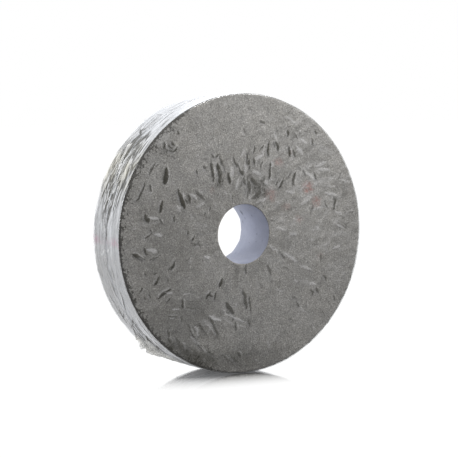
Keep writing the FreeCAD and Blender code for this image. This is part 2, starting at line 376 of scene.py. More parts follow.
def film_material(name, gloss=1.35, rough=0.10):
    """Clear film: see-through where it lies flat, mirror-like by Fresnel, milky
    where it is doubled (haze), with painted shade where a fold stands off the
    stone (dark) and a painted highlight along a fold's crest (lite)."""
    m = Nodes(name)
    p = m.coords()
    micro = m.noise(p, 650.0, 2.0, 0.5)
    broad = m.noise(p, 160.0, 2.0, 0.5)
    nrm = m.bump(micro, 0.16, 0.00022, m.bump(broad, 0.22, 0.0006))
    facing = m.add("ShaderNodeLayerWeight")
    facing.inputs["Blend"].default_value = 0.5
    m.link(nrm, facing.inputs["Normal"])
    rise = m.math("MULTIPLY", m.math("POWER", facing.outputs["Facing"], 5.0), 0.85)
    drawn = m.math("MINIMUM", m.math("ADD", 0.055, m.attr("haze")), 0.40)     # flat film shines less than drawn film
    fac = m.math("MINIMUM", m.math("MULTIPLY", m.math("ADD", rise, 0.042), gloss), drawn)
    clear = m.add("ShaderNodeBsdfTransparent")
    clear.inputs["Color"].default_value = (0.985, 0.985, 0.985, 1)
    shine = m.add("ShaderNodeBsdfGlossy")
    shine.inputs["Color"].default_value = (0.97, 0.975, 1.0, 1)
    shine.inputs["Roughness"].default_value = rough
    m.link(nrm, shine.inputs["Normal"])
    s = m.shader_mix(fac, clear.outputs[0], shine.outputs[0])
    milk = m.add("ShaderNodeBsdfDiffuse")
    m.link(m.mix(m.attr("warm"), (0.79, 0.81, 0.845), (0.84, 0.82, 0.74)), milk.inputs["Color"])
    m.link(nrm, milk.inputs["Normal"])
    haze = m.math("MULTIPLY", m.attr("haze"), m.ramp(broad, [(0.3, (0.8, 0.8, 0.8)), (0.7, (1.15, 1.15, 1.15))]), clamp=True)
    s = m.shader_mix(haze, s, milk.outputs[0])
    # painted shade: a dark diffuse coat where folds stand off the stone, with mottled dots
    shade = m.add("ShaderNodeBsdfDiffuse")
    shade.inputs["Color"].default_value = (0.040, 0.038, 0.029, 1)
    rag = m.math("MULTIPLY", m.math("SUBTRACT", micro, 0.5), 0.5)
    leaf = m.math("MULTIPLY", m.math("SUBTRACT", m.math("ADD", m.attr("leaf"), rag), 0.36), 3.6, clamp=True)
    dark = m.math("MAXIMUM", m.attr("dark"), m.math("MULTIPLY", leaf, m.attr("fold_shade")))
    dots = m.math("MULTIPLY", m.math("SUBTRACT", m.noise(p, 1250.0, 2.0, 0.6), 0.47), 9.0, clamp=True)
    dark = m.math("MAXIMUM", dark, m.math("MULTIPLY", dots, m.attr("mottle")))
    s = m.shader_mix(dark, s, shade.outputs[0])
    # painted highlight: a pale diffuse coat along fold crests
    crest = m.add("ShaderNodeBsdfDiffuse")
    m.link(m.mix(m.attr("warm"), (0.86, 0.86, 0.88), (0.90, 0.875, 0.76)), crest.inputs["Color"])
    s = m.shader_mix(m.attr("lite"), s, crest.outputs[0])
    blush = m.add("ShaderNodeBsdfDiffuse")
    blush.inputs["Color"].default_value = (0.46, 0.27, 0.34, 1)
    s = m.shader_mix(m.attr("blush"), s, blush.outputs[0])
    m.link(s, m.out.inputs[0])
    return m.mat


def clear_material():
    m = Nodes("film_underside")
    clear = m.add("ShaderNodeBsdfTransparent")
    clear.inputs["Color"].default_value = (1, 1, 1, 1)
    m.link(clear.outputs[0], m.out.inputs[0])
    return m.mat


MAT_GRIT = abrasive_material()
MAT_BUSH = bush_material()
MAT_FILM = film_material("shrink_film")
MAT_WELD = film_material("shrink_film_weld", gloss=1.6, rough=0.14)
MAT_UNDER = clear_material()

# ---------------------------------------------------------------------------
# abrasive body: a turned disc with a grainy skin and a chipped arris
# ---------------------------------------------------------------------------
def chip_depth(deg, seed, side):
    """How deep the arris is chipped (mm) at this angle."""
    u = np.radians(deg) * R_WHEEL
    a = noise(u / 2.1, 0 * u + side, seed=seed)
    b = noise(u / 0.9, 0 * u + side + 3, seed=seed + 5)
    c = noise(u / 9.0, 0 * u + side + 9, seed=seed + 9)
    d = 0.16 + 0.30 * np.clip(a + 0.25, 0, 1) + 0.16 * np.clip(b, 0, 1) + 0.16 * c
    return np.clip(d, 0.04, 0.75)


def build_abrasive():
    g = Rings()
    step_in = 1.25
    n_edge = count_for(R_WHEEL, 0.55)
    loop = []

    def face(side, order):
        rs = list(np.arange(R_SEAT + 0.4, 68.4, step_in)) + list(np.arange(69.0, 72.1, 0.6)) + list(np.arange(72.4, 74.45, 0.28))
        first = [R_SEAT]
        rings = []
        for r in first + rs:
            n = count_for(r, step_in if r < 68.5 else 0.55, 48)
            if r >= 68.5:
                n = n_edge
            rings.append(("face", r, side * HALF_W, 0.0, side, n))
        # the arris, four small steps round the corner
        for k in range(5):
            a = k / 4 * math.pi / 2
            rings.append(
                (
                    "arris",
                    74.55 + 0.45 * math.sin(a),
                    side * (HALF_W - 0.45 + 0.45 * math.cos(a)),
                    math.sin(a),
                    side * math.cos(a),
                    n_edge,
                )
            )
        return rings if order > 0 else rings[::-1]

    mouth = [("lip", R_BORE + 0.02, -(HALF_W - 0.25), -1.0, 0.0, count_for(R_SEAT, 0.6, 48)), ("lip", R_BORE + 0.02, -HALF_W, -1.0, 0.0, count_for(R_SEAT, 0.6, 48))]
    seq = mouth + face(-1, 1)
    for y in (-14.2, -13.7, -13.1, -12.2):
        seq.append(("rim", R_WHEEL, y, 1.0, 0.0, n_edge))
    for y in np.linspace(-11.0, 11.0, 19):
        seq.append(("rim", R_WHEEL, float(y), 1.0, 0.0, count_for(R_WHEEL, 1.1, 48)))
    for y in (12.2, 13.1, 13.7, 14.2):
        seq.append(("rim", R_WHEEL, y, 1.0, 0.0, n_edge))
    seq += face(1, -1)
    for y in np.linspace(HALF_W - 0.3, -(HALF_W - 0.3), 8):
        seq.append(("bore", R_SEAT, float(y), -1.0, 0.0, count_for(R_SEAT, step_in, 48)))
    kinds = []
    for kind, r, y, nr, ny, n in seq:
        loop.append(g.ring(r, y, nr, ny, n, {"face": 0, "arris": 1, "rim": 2, "bore": 3, "lip": 4}[kind]))
        kinds.append(kind)
    for a, b in zip(loop, loop[1:] + loop[:1]):
        g.join(a, b)
    r, y, t, nr, ny, tag = g.arrays()
    deg = np.degrees(t)
    x, z = r * np.cos(t), r * np.sin(t)
    side = np.sign(y)
    # grain: unevenness of the dressed surface
    grain = 0.050 * fbm(x / 1.6, y / 1.6, z / 1.6, seed=3, octaves=3) + 0.05 * noise(x / 7.0, y / 7.0, z / 7.0, seed=8)
    grain = np.where(tag >= 3, 0, grain - 0.05)
    # chips along both arrises
    depth = np.where(side < 0, chip_depth(deg, 11, 0.0), chip_depth(deg, 31, 50.0))
    worn = 0.35 + 0.65 * smooth(8, 22, np.abs(turn(deg - 184)) * -1 + 92)     # more knocks on the left half
    dist = np.where(
        np.abs(y) > HALF_W - 1e-6, R_WHEEL - r, np.where(r > 74.0, HALF_W - np.abs(y), 9.0)
    )
    near = np.where(tag == 1, 1.0, np.clip(1.0 - dist / (1.25), 0, 1)) * (r > 60)
    cut = depth * (0.45 + 0.55 * worn) * near
    dir_r = np.where(tag >= 3, 0, -1.0) * np.where(r > 60, 0.75, 0)
    dir_y = -side * np.where(r > 60, 0.75, 0)
    rr = r + nr * grain + dir_r * cut
    rr = np.where((tag == 0) & (r < R_SEAT + 0.1), rr + 0.05 * noise(deg / 6.0, side, seed=78), rr)
    # the mouth of the bore is broken in short straights
    corner = np.abs(((deg / 29.0 + 0.35) % 1.0) - 0.5) * 2
    rr = np.where(tag == 4, rr + 0.14 * corner + 0.04 * np.clip(noise(deg / 6.0, y * 0, seed=78), 0, 1), rr)
    yy = y + ny * grain + dir_y * cut
    co = np.stack([rr * np.cos(t), yy, rr * np.sin(t)], 1)
    # a jagged dark band along each arris, strongest on the left half: chipped grit, and partly painted shade in the
    # chip hollows
    teeth = noise(np.radians(deg) * R_WHEEL / 1.15, dist / 2.2 + 40 * side, seed=21)
    teeth2 = noise(np.radians(deg) * R_WHEEL / 3.1, dist / 4.0 + 10 * side, seed=22)
    reach = 4.2 + 2.2 * teeth + 2.0 * teeth2 + 2.2 * np.exp(-((turn(deg - 148) / 16.0) ** 2))
    near = np.clip(1 - np.where(tag == 1, 0.0, dist) / np.maximum(reach, 0.8), 0, 1)
    band = (0.95 * near**1.15 + 0.25 * (near > 0.80)) * (r > 60)
    band = np.where(tag == 2, band * 0.3, band)
    arc = smooth(0, 14, 76 - np.abs(turn(deg - 186)))
    chips_and_hollow_shade = band * (0.10 + 0.88 * arc)
    # a few worn, rusty smudges on the front face, no shape of any kind
    stain = np.zeros_like(x)
    for sx, sz, rad, amt in ((41, 24, 3.6, 0.75), (46, 16, 3.0, 0.65), (17, 21, 4.2, 0.50), (22, 38, 3.0, 0.45), (35, 7, 2.6, 0.35), (27, 14, 2.6, 0.32), (49, -14, 1.8, 0.35), (30, 43, 1.8, 0.35), (-20, 24, 2.0, 0.25)):
        dd = np.hypot(x - sx, z - sz) / rad
        dd = dd + 0.55 * fbm(x / 2.2, z / 2.2, seed=int(50 + sx), octaves=3)
        stain = np.maximum(stain, amt * np.clip(1.1 - dd, 0, 1) * (side < 0))
    stain *= tag == 0
    faces = g.faces
    flip = signed_volume(co, faces) < 0
    obj = make_object("abrasive_disc", co, faces, MAT_GRIT, flip, {"chips_and_hollow_shade": chips_and_hollow_shade, "stain": stain})
    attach(obj, "root")
    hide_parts("abrasive_body")
    return obj


# ---------------------------------------------------------------------------
# bore bush: a smooth thin sleeve with softened ends
# ---------------------------------------------------------------------------
def build_bush():
    g = Rings()
    n = 288
    e = HALF_W - 0.05
    prof = []
    for y in np.linspace(-(e - 0.35), e - 0.35, 61):
        prof.append((R_BORE, float(y)))
    for k in range(1, 6):
        a = k / 5 * math.pi / 2
        prof.append((R_BORE + 0.12 * (1 - math.cos(a)), e - 0.35 + 0.35 * math.sin(a)))
    prof.append((R_SEAT - 0.04, e - 0.10))
    prof.append((R_SEAT - 0.04, 0.0))
    prof.append((R_SEAT - 0.04, -(e - 0.10)))
    for k in range(5, 0, -1):
        a = k / 5 * math.pi / 2
        prof.append((R_BORE + 0.12 * (1 - math.cos(a)), -(e - 0.35 + 0.35 * math.sin(a))))
    ids = [g.ring(r, y, -1, 0, n) for r, y in prof]
    for a, b in zip(ids, ids[1:] + ids[:1]):
        g.join(a, b)
    r, y, t, nr, ny, tag = g.arrays()
    deg = np.degrees(t)
    inner = r < R_BORE + 0.3
    wob = 0.012 * noise(t * 5, y / 6.0, seed=5) * inner
    # cut ends, a little out of round in short straights, opening outwards only
    corner = np.abs(((deg / 29.0 + 0.35) % 1.0) - 0.5) * 2
    mouth = smooth(HALF_W - 2.4, HALF_W - 0.2, np.abs(y)) * inner
    rr = r + np.abs(wob) + mouth * (0.26 * corner**1.5 + 0.06 * np.clip(noise(deg / 7.0, y * 0 + np.sign(y), seed=77), 0, 1))
    co = np.stack([rr * np.cos(t), y, rr * np.sin(t)], 1)
    flip = signed_volume(co, g.faces) < 0
    specks_and_painted_shade = np.zeros_like(r)
    for sa, sy, ra, ry, amt in ((36.5, 9.0, 1.9, 1.1, 0.85), (40.5, 8.2, 1.5, 0.6, 0.45), (23.8, 8.2, 1.0, 0.6, 0.5), (15.0, 12.0, 1.2, 0.7, 0.55), (-20.0, -3.7, 0.9, 0.6, 0.3), (150.0, -6.0, 1.1, 0.7, 0.5), (205.0, 4.0, 0.9, 0.9, 0.4)):
        dd = np.hypot(turn(deg - sa) * math.pi / 180 * R_BORE / ra, (y - sy) / ry)
        specks_and_painted_shade = np.maximum(specks_and_painted_shade, amt * np.clip(1.35 - dd, 0, 1) * inner)
    # painted shade: darker along the bottom, most towards the front end, and towards the back end on the right
    specks_and_painted_shade = np.maximum(specks_and_painted_shade, inner * (0.44 * np.exp(-((turn(deg - 285) / 52.0) ** 2)) * (0.45 + 0.85 * smooth(6, -13, y)) + 0.16 * smooth(-2, 14, y) * np.exp(-((turn(deg - 5) / 42.0) ** 2))) * (0.9 + 0.2 * noise(deg / 12.0, y / 4.0, seed=79)))
    co[:, 1] = np.where(co[:, 1] < 0, co[:, 1] * (HALF_W - 0.32) / e, co[:, 1])
    obj = make_object("bore_sleeve", co, g.faces, MAT_BUSH, flip, {"specks_and_painted_shade": specks_and_painted_shade})
    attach(obj, "root")
    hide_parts("bore_bush")
    return obj


# ---------------------------------------------------------------------------
# creases of the film. Each is (x or angle, z or y, direction, length, width,
# strength): a leaf-shaped fold. On a face the place is in mm from the bore's
# centre, x to the right and z up as seen from the front; on the rim it is the
# wheel angle in degrees and the distance along the axle in mm.
# ---------------------------------------------------------------------------
# the _DARK lists give painted shade in each fold and a painted highlight on its lip, the _LITE lists painted highlights
# along crests; both also raise the film
FACE_DARK = [
    (-33, -50, 118, 11, 1.5, 0.26), (-9, -39, 128, 9, 2.4, 0.28), (-28, -57, 126, 9, 1.3, 0.26), (-35, -60, 128, 9, 1.5, 0.26), (-41, -55, 112, 7, 1.3, 0.26),
    (-20, -63, 155, 9, 1, 0.24), (-12, -66, 150, 7, 1, 0.22), (-46, -50, 105, 5, 1.6, 0.24), (4, -38, 98, 12, 1.3, 0.22), (-5, -49, 100, 6, 1.2, 0.22),
    (-24, 36, 120, 4, 1, 0.24), (-24, 12, 60, 3, 1, 0.24), (34, -40, 120, 5, 1.1, 0.22), (30, -48, 150, 4, 1, 0.2), (52, -26, 130, 5, 1.2, 0.22),
    (44, -34, 60, 4, 1, 0.22), (58, -38, 110, 4, 1, 0.2), (1, -35, 101, 13, 2.4, 0.26), (-19, -48, 116, 13, 2, 0.24), (-30, -54, 125, 9, 1.9, 0.27),
    (-27, 22, 135, 9, 2.1, 0.22), (-26, -49, 124, 11, 1.4, 0.2), (-6, -67, 146, 7, 2, 0.22), (-39, -58, 111, 8, 1.7, 0.24), (1, -19, 93, 5, 1.6, 0.24),
    (3, -48, 95, 5, 1.5, 0.24), (47, -33, 128, 5, 1.6, 0.22), (-3, -65, 138, 4, 1.5, 0.25), (12, 60, 154, 4, 1.7, 0.25), (16, -20, 109, 7, 1.9, 0.18),
    (-46, -54, 109, 4, 2, 0.26), (24, -12, 127, 8, 1.3, 0.18), (49, -15, 86, 6, 1.2, 0.18), (43, -33, 125, 5, 1.3, 0.2), (7, 28, 140, 7, 2.6, 0.2),
    (7, 20, 35, 6, 2.6, 0.22), (9, 23, 85, 9, 3.4, 0.2), (4, 25, 95, 8, 2.4, 0.18), (12, 29, 60, 6, 2.4, 0.16), (-19.9, 34.1, 97, 12, 1.9, 0.31),
    (-15, 33.2, 100, 12.7, 2.9, 0.4), (-14.1, 39.9, 102, 6.6, 1.2, 0.29), (-9.3, 30.4, 99, 7.6, 1.6, 0.38), (-12.2, 35.6, 101, 6.1, 0.85, 0.29), (-5.6, 39.1, 115, 8.7, 1.1, 0.29),
    (-3.5, 36.3, 118, 5.7, 0.85, 0.31), (2, 40.4, 96, 8.6, 1.2, 0.34), (3.3, 37.2, 86, 7.5, 1.2, 0.34), (6.2, 38.6, 102, 5.5, 1.05, 0.34), (6.2, 45, 79, 5.1, 1.2, 0.36),
    (15.4, 45.6, 87, 9.8, 1.5, 0.43), (15.9, 33.1, 88, 11.1, 1.3, 0.43), (20.9, 46.8, 110, 6.8, 1.6, 0.38), (19, 47.4, 99, 4.5, 0.85, 0.29), (28.7, 43.9, 96, 6.4, 1.5, 0.38),
    (31.5, 42.9, 112, 5.5, 1.1, 0.29), (28, 53.3, 93, 4.6, 1.3, 0.38), (32.9, 52, 120, 6.1, 0.85, 0.29), (23.5, 26.6, 61, 6.6, 1.5, 0.4), (20.9, 27.1, 58, 4, 0.85, 0.25),
    (31.5, 29.1, 77, 8.1, 1.5, 0.43), (29, 31.4, 59, 4.6, 0.85, 0.29), (45.2, 29.8, 104, 5.8, 1.3, 0.4), (38.2, 32.3, 113, 3.7, 0.85, 0.29), (43.5, 48.7, 105, 4.7, 1.3, 0.34),
    (45.5, 53.6, 107, 3.4, 1.05, 0.36), (57.7, 14.6, 85, 9, 1.5, 0.38), (58.9, 16.6, 70, 5.2, 1.1, 0.27), (52.6, 13.6, 127, 6.1, 0.85, 0.27), (43.4, 12.6, 82, 5.3, 0.85, 0.25),
    (0.4, 28.4, 98, 5.6, 1.8, 0.31), (7.3, 21.2, 78, 5.5, 1.2, 0.27), (13.3, 23.2, 126, 4, 1.2, 0.22), (2.6, 25.3, 88, 15.8, 0.85, 0.27), (-1.6, 27.2, 78, 6.3, 0.85, 0.25),
    (61.5, 30, 53, 4.5, 0.85, 0.25), (-21, 14.5, 123, 2.9, 0.85, 0.29), (-7.2, 20.3, 105, 4.8, 0.85, 0.22), (-16.5, 42.4, 15, 3.5, 0.85, 0.25), (-1.6, 33.3, 134, 5, 1.8, 0.29),
    (5.8, 28.1, 116, 4.8, 2, 0.31), (11.1, 37.2, 81, 5.1, 0.85, 0.25), (11, 45.7, 57, 4.7, 0.85, 0.25), (35.4, 34.1, 124, 4.4, 0.85, 0.22), (-19.4, 42.4, 115, 3.3, 0.85, 0.25),
    (45.8, 12.2, 70, 2.1, 0.85, 0.22), (11.6, 14.8, 115, 3.4, 0.85, 0.25), (-48, 32.8, 81, 10.1, 3.35, 0.42), (-38, 20.2, 108, 12.4, 2.85, 0.42), (-35.6, 19.5, 100, 4.6, 0.95, 0.31),
    (-33.8, 20.1, 102, 5.8, 1.84, 0.33), (-50.4, 16.6, 76, 7.1, 2.01, 0.39), (-58.8, 10.9, 115, 6.3, 2.01, 0.35), (-50.5, 9, 126, 4.1, 1.12, 0.33), (-42.5, 10.1, 85, 3.5, 1.1, 0.33),
    (-62.1, 24, 63, 12, 1.26, 0.33), (-56.6, 26.4, 93, 4, 0.98, 0.31), (-55.9, 36.3, 63, 9.5, 0.95, 0.26), (-52.3, 38.6, 47, 2.9, 0.95, 0.31), (-48.4, 48.2, 112, 5.1, 1.12, 0.42),
    (-45, 47.7, 145, 3.8, 1.1, 0.4), (-43.2, 49.5, 115, 3.2, 1.1, 0.4), (-46.9, 45.6, 54, 2.8, 1.1, 0.35), (-41.8, 46.3, 50, 4.2, 1.1, 0.35), (-45.5, 46.1, 155, 6.4, 0.95, 0.31),
    (-39.9, 55.3, 115, 2.3, 0.95, 0.31), (-28.6, 34, 125, 2.6, 1.26, 0.33), (-58.2, 1.3, 34, 6.1, 1.1, 0.35), (-56.8, 3.8, 115, 3.6, 1.1, 0.33), (-34.7, 2.4, 101, 2.6, 1.67, 0.33),
    (-31.5, -0.8, 63, 4.5, 1.26, 0.35), (-29.2, -3.8, 40, 5.4, 0.95, 0.28), (-59.6, -6.1, 119, 4.2, 1.67, 0.38), (-62.5, -9.3, 161, 6.3, 1.12, 0.35), (-66.1, 36.2, 126, 3.2, 0.95, 0.26),
    (-62.2, 37.7, 123, 2.6, 0.95, 0.24), (-59.6, -6, 126, 4.8, 1.31, 0.33), (-64.5, -9.1, 152, 8.2, 1.95, 0.38), (-54.4, -10.4, 11, 6.5, 1.1, 0.33), (-53.4, -10.4, 31, 5.6, 0.95, 0.31),
    (-43.4, -15, 65, 6.1, 1.1, 0.35), (-45.2, -16.3, 43, 3.6, 0.95, 0.28), (-59.9, -18.2, 111, 3.1, 0.95, 0.26), (-53.8, -18.6, 26, 2.9, 0.95, 0.28), (-53, -22.6, 59, 5.7, 1.95, 0.38),
    (-46.5, -22.2, 94, 3.4, 0.95, 0.28), (-62.9, -26.5, 61, 4.7, 1.14, 0.31), (-48.5, -29.4, 32, 9.7, 1.95, 0.38), (-45.7, -32.8, 58, 4.8, 1.14, 0.33), (-37.8, -35.1, 96, 6.4, 1.14, 0.35),
    (-21.8, -31.2, 55, 6, 1.14, 0.38), (-18, -32, 70, 5.2, 1.1, 0.33), (-20.8, -31.5, 141, 3.9, 0.95, 0.31), (-14.1, -25.5, 67, 6.4, 1.95, 0.4), (-38.7, -43, 112, 3.6, 0.95, 0.28),
    (-43.7, -41.6, 171, 7.2, 0.95, 0.28), (-32.4, -37.7, 168, 7.4, 0.95, 0.24), (-28.3, -4.1, 133, 3.8, 0.95, 0.26), (-29.7, -4.3, 156, 1.9, 0.95, 0.26), (-57.4, -29.8, 94, 3, 0.95, 0.26),
    (-60.4, -30.3, 122, 2.1, 0.95, 0.24),
]
FACE_LITE = [
    (-6, -45, 158, 16, 1.0, 0.24), (-20, -50, 128, 9, 1.1, 0.20), (-31, -52, 122, 9, 1.0, 0.20), (-26, -60, 140, 8, 0.9, 0.18), (-46, -29, 172, 6, 1.1, 0.24),
    (-42, -38, 178, 5, 1.1, 0.24), (-35, -30, 5, 5, 0.8, 0.22), (43, 30, 150, 9, 2.0, 0.20), (49, 36, 20, 9, 1.8, 0.18), (35, 44, 130, 7, 1.6, 0.18),
    (56, 20, 165, 10, 1.8, 0.20), (47, 12, 15, 9, 1.5, 0.18), (38, 25, 40, 8, 1.8, 0.20), (62, 2, 150, 7, 1.4, 0.18), (52, -8, 20, 8, 1.2, 0.16),
    (30, 60, 150, 8, 1.4, 0.14), (20, 52, 100, 6, 1.2, 0.16), (12, 44, 80, 8, 1.2, 0.16), (-1, 44, 60, 6, 1.2, 0.14), (40, -20, 160, 9, 1.4, 0.16),
    (-18, -44, 154, 9, 2.2, 0.30), (-30, -56, 143, 9, 1.6, 0.24), (-7, 34, 94, 7, 2.6, 0.18), (30, -14, 150, 11, 1.7, 0.22),
    (39, 17, 29, 9, 2.6, 0.17), (8, 33, 160, 6, 2.6, 0.16), (14, 27, 123, 4, 2.6, 0.20), (51, 33, 176, 9, 2.2, 0.18),
    (-56, -6, 172, 8, 1.8, 0.22), (-55, 11, 178, 8, 1.6, 0.24), (-31, 21, 146, 6, 2.0, 0.24), (-4, 27, 71, 9, 1.5, 0.18),
    (-62, -10, 151, 5, 1.4, 0.20), (9, 41, 32, 5, 2.2, 0.19), (-29, -50, 118, 6, 1.4, 0.20), (-18, 34, 90, 6, 1.4, 0.17),
    (11, 18, 14, 8, 1.5, 0.16), (-52, 2, 171, 7, 1.5, 0.23), (4, 21, 79, 9, 1.3, 0.17), (-37, -58, 114, 6, 1.5, 0.20),
    (29, 22, 178, 6, 1.7, 0.18), (1, 35, 101, 6, 1.6, 0.18), (-12, -42, 117, 8, 1.2, 0.16), (60, -10, 5, 5, 1.7, 0.19),
    (-37, 22, 97, 4, 1.6, 0.20), (61, 9, 161, 5, 2.0, 0.18), (-23, -11, 168, 5, 1.4, 0.22), (38, 49, 158, 7, 1.4, 0.16),
    (-27, 17, 24, 6, 1.8, 0.17), (44, -29, 170, 5, 1.7, 0.19), (24, 2, 152, 5, 1.3, 0.19), (-40, 15, 121, 5, 1.7, 0.18),
    (18, 37, 92, 4, 2.0, 0.17), (-44, -42, 180, 4, 1.3, 0.20), (33, -27, 137, 4, 1.5, 0.18), (31, -1, 172, 6, 1.2, 0.18),
    (43, -5, 165, 5, 1.0, 0.16), (47, 1, 145, 4, 1.3, 0.16), (-10, -46, 150, 10, 0.9, 0.15), (-2, -49, 160, 8, 0.8, 0.13),
    (38, -44, 150, 9, 0.9, 0.13), (17, -8, 145, 6, 1.1, 0.18), (65, 27, 160, 8, 1.3, 0.14), (54, 24, 175, 11, 1.2, 0.14),
]
RIM_DARK = [
    (139.8, 0.4, 14, 13, 4.4, 0.40), (143.5, 1.8, -8, 11, 3.6, 0.40), (137.2, 4.0, 22, 9, 3.0, 0.38), (157.0, 4.4, 10, 9, 2.2, 0.42), (160.5, 1.2, 14, 10, 2.6, 0.40),
    (136.5, -4.3, 19, 9, 2.0, 0.46), (143, -4.8, -17, 11, 2.2, 0.46), (140.5, 2.0, 2, 13, 2.6, 0.42), (138, 3.6, 10, 5, 2.0, 0.38),
    (145.6, -2.5, 60, 4.5, 2.2, 0.50), (157, -9.5, 0, 9, 1.2, 0.46), (158, -11.5, 2, 7, 1.0, 0.42), (157.5, -4.8, 20, 5.5, 2.2, 0.52),
    (163.3, -1.5, 18, 4.5, 2.0, 0.50), (168.5, -2.4, 27, 9, 2.0, 0.50), (175.8, -0.5, 2, 14, 1.8, 0.46), (167.5, 2.4, 8, 8, 2.2, 0.44),
    (155.2, 3.9, 5, 5, 1.8, 0.48), (155, 6.7, 0, 10, 1.1, 0.42), (146, 6.6, -20, 5, 1.4, 0.42), (142, 9.0, 12, 8, 1.0, 0.34),
    (154, 11, 0, 10, 1.0, 0.32), (141, -10.5, 0, 10, 1.2, 0.24), (140, -13, 0, 9, 0.9, 0.20), (126, -0.8, 20, 8, 1.1, 0.20),
    (122, 6, 88, 8, 0.8, 0.20), (189, -0.5, 2, 7, 1.4, 0.34), (202, 0.6, 1, 12, 1.6, 0.34), (195, -0.2, 4, 8, 1.0, 0.20),
    (218.5, 1.3, 52, 14, 1.1, 0.34), (225, 8.2, 40, 8, 1.2, 0.34), (228, 3.8, 37, 8, 2.4, 0.30), (226.6, -3.5, 30, 7, 3.0, 0.20),
    (238, 2.5, 58, 7, 2.4, 0.32), (242, 3, 60, 6, 2.0, 0.28), (214, 4.5, 48, 8, 0.9, 0.22), (222, 5.5, 45, 10, 1.0, 0.30),
    (233, -2, 40, 9, 1.2, 0.24), (246, -4, 40, 10, 1.2, 0.26), (150, 0.5, -50, 7, 1.0, 0.34), (148, -9, -30, 8, 1.0, 0.28),
    (161, 6.5, -20, 6, 1.0, 0.28), (171, 6, 15, 7, 1.0, 0.22), (163, 9, 10, 7, 0.9, 0.22),
]
RIM_LITE = [
    (138, -1.9, 15, 10, 1.3, 0.50), (144, -2.2, -17, 9, 1.1, 0.42), (140.5, 6.3, 55, 6, 2.2, 0.55), (150.6, 4, 50, 7, 2.0, 0.40),
    (152.5, -7.0, -42, 9, 1.8, 0.40), (160, 1.2, 60, 6, 1.2, 0.34), (172, -3.6, 10, 12, 2.2, 0.26), (165.5, -0.3, 25, 8, 1.0, 0.45),
    (148, 1.2, -60, 8, 1.2, 0.45), (175, 1.4, 4, 11, 1.1, 0.35), (155, 8.6, 0, 11, 1.2, 0.36), (133, 8, 25, 9, 1.2, 0.35),
    (128, 3.0, 30, 8, 1.4, 0.30), (184.5, -3, 62, 9, 1.1, 0.34), (186, 3.5, 58, 8, 1.1, 0.32), (203, -1.3, 2, 11, 1.0, 0.16),
    (217, 3.2, 52, 12, 0.9, 0.20), (229, 8.6, 38, 8, 1.4, 0.35), (236, 9.5, 40, 8, 2.0, 0.45), (241, 12, 20, 8, 2.0, 0.45),
    (157, -8.0, 0, 8, 1.0, 0.36), (158, -13.0, 0, 8, 1.0, 0.32), (169, 4.6, 10, 8, 1.0, 0.28), (161, 11.5, 5, 9, 1.2, 0.26),
]


# wider painted soft shadows of loose film on the front face: x, z, half sizes, turn,
# strength; broad painted shade and painted pale highlight bands the same way
FACE_SHADE = [
    (10, 24.5, 8.5, 5.0, -28, 0.30), (3.5, 27.5, 4.0, 5.5, 0, 0.24), (13.5, 21.5, 5.0, 3.6, -35, 0.26), (-15.3, 29.5, 3.4, 5.5, 0, 0.22),
    (-1, 31, 5, 5, 0, 0.12), (-26, -62, 9, 4.5, -40, 0.16), (-40, 20, 4, 5, 20, 0.14), (-6, -68, 6, 3, -30, 0.18),
    (13, -70, 7, 2, 0, 0.12), (-32, 22, 6, 4, 0, 0.10), (-12, -28, 4, 6, 10, 0.10), (22, 33, 6, 6, 0, 0.08),
    (-46, 45, 6, 4, 0, 0.14), (-61, 12, 5, 8, 10, 0.10), (-18, -52, 7, 4, -50, 0.12), (31, 52, 6, 3, 30, 0.12),
    (-50, -30, 6, 3, 35, 0.08), (2, -48, 3, 6, 0, 0.10), (3, -67, 10, 3, 0, 0.08),
]
# broad painted shade: darker towards the bottom and the lower left
FACE_BROAD_SHADE = [
    (-5, -68, 44, 9, 0, 0.10), (-38, -44, 26, 18, 20, 0.09), (-33, -63, 17, 4.5, -30, 0.26), (-22, -66, 12, 4, -22, 0.20), (-48, -8, 22, 34, 0, 0.05),
]
FACE_PALE = [
    (50, 27, 16, 2.4, 14, 0.16), (42, 20, 9, 2.2, 20, 0.18), (57, 18, 8, 2.0, 5, 0.12), (38, 33, 7, 2.2, 40, 0.12),
    (33, 24, 6, 2.0, 10, 0.14), (60, -2, 7, 1.8, 0, 0.12), (30, -14, 7, 1.6, -30, 0.16), (50, 45, 8, 2.4, -25, 0.10),
    (40, -28, 8, 1.6, -20, 0.12), (25, 45, 6, 3.0, 20, 0.08), (-26, 24, 4, 1.8, 0, 0.16), (-60, 8, 4, 1.6, 0, 0.14),
    (17, 24, 3, 2.4, 0, 0.14), (-22, -47, 6, 1.6, -30, 0.20), (22, 8, 7, 1.4, 5, 0.10), (24, 2, 6, 1.3, -10, 0.10),
    (52, 9, 8, 1.5, 8, 0.10), (46, -9, 7, 1.4, -8, 0.10), (-49, 52, 7, 2.0, 40, 0.14),
]


def patches(u, v, rows, seed):
    out = np.zeros_like(u)
    ragged = 0.45 * fbm(u / 3.2, v / 3.2, seed=seed, octaves=3)
    for cu, cv, ru, rv, ang, amt in rows:
        a = math.radians(ang)
        p = (u - cu) * math.cos(a) + (v - cv) * math.sin(a)
        q = -(u - cu) * math.sin(a) + (v - cv) * math.cos(a)
        d = np.hypot(p / ru, q / rv) + ragged
        out = np.maximum(out, amt * smooth(1.25, 0.35, d))
    return out


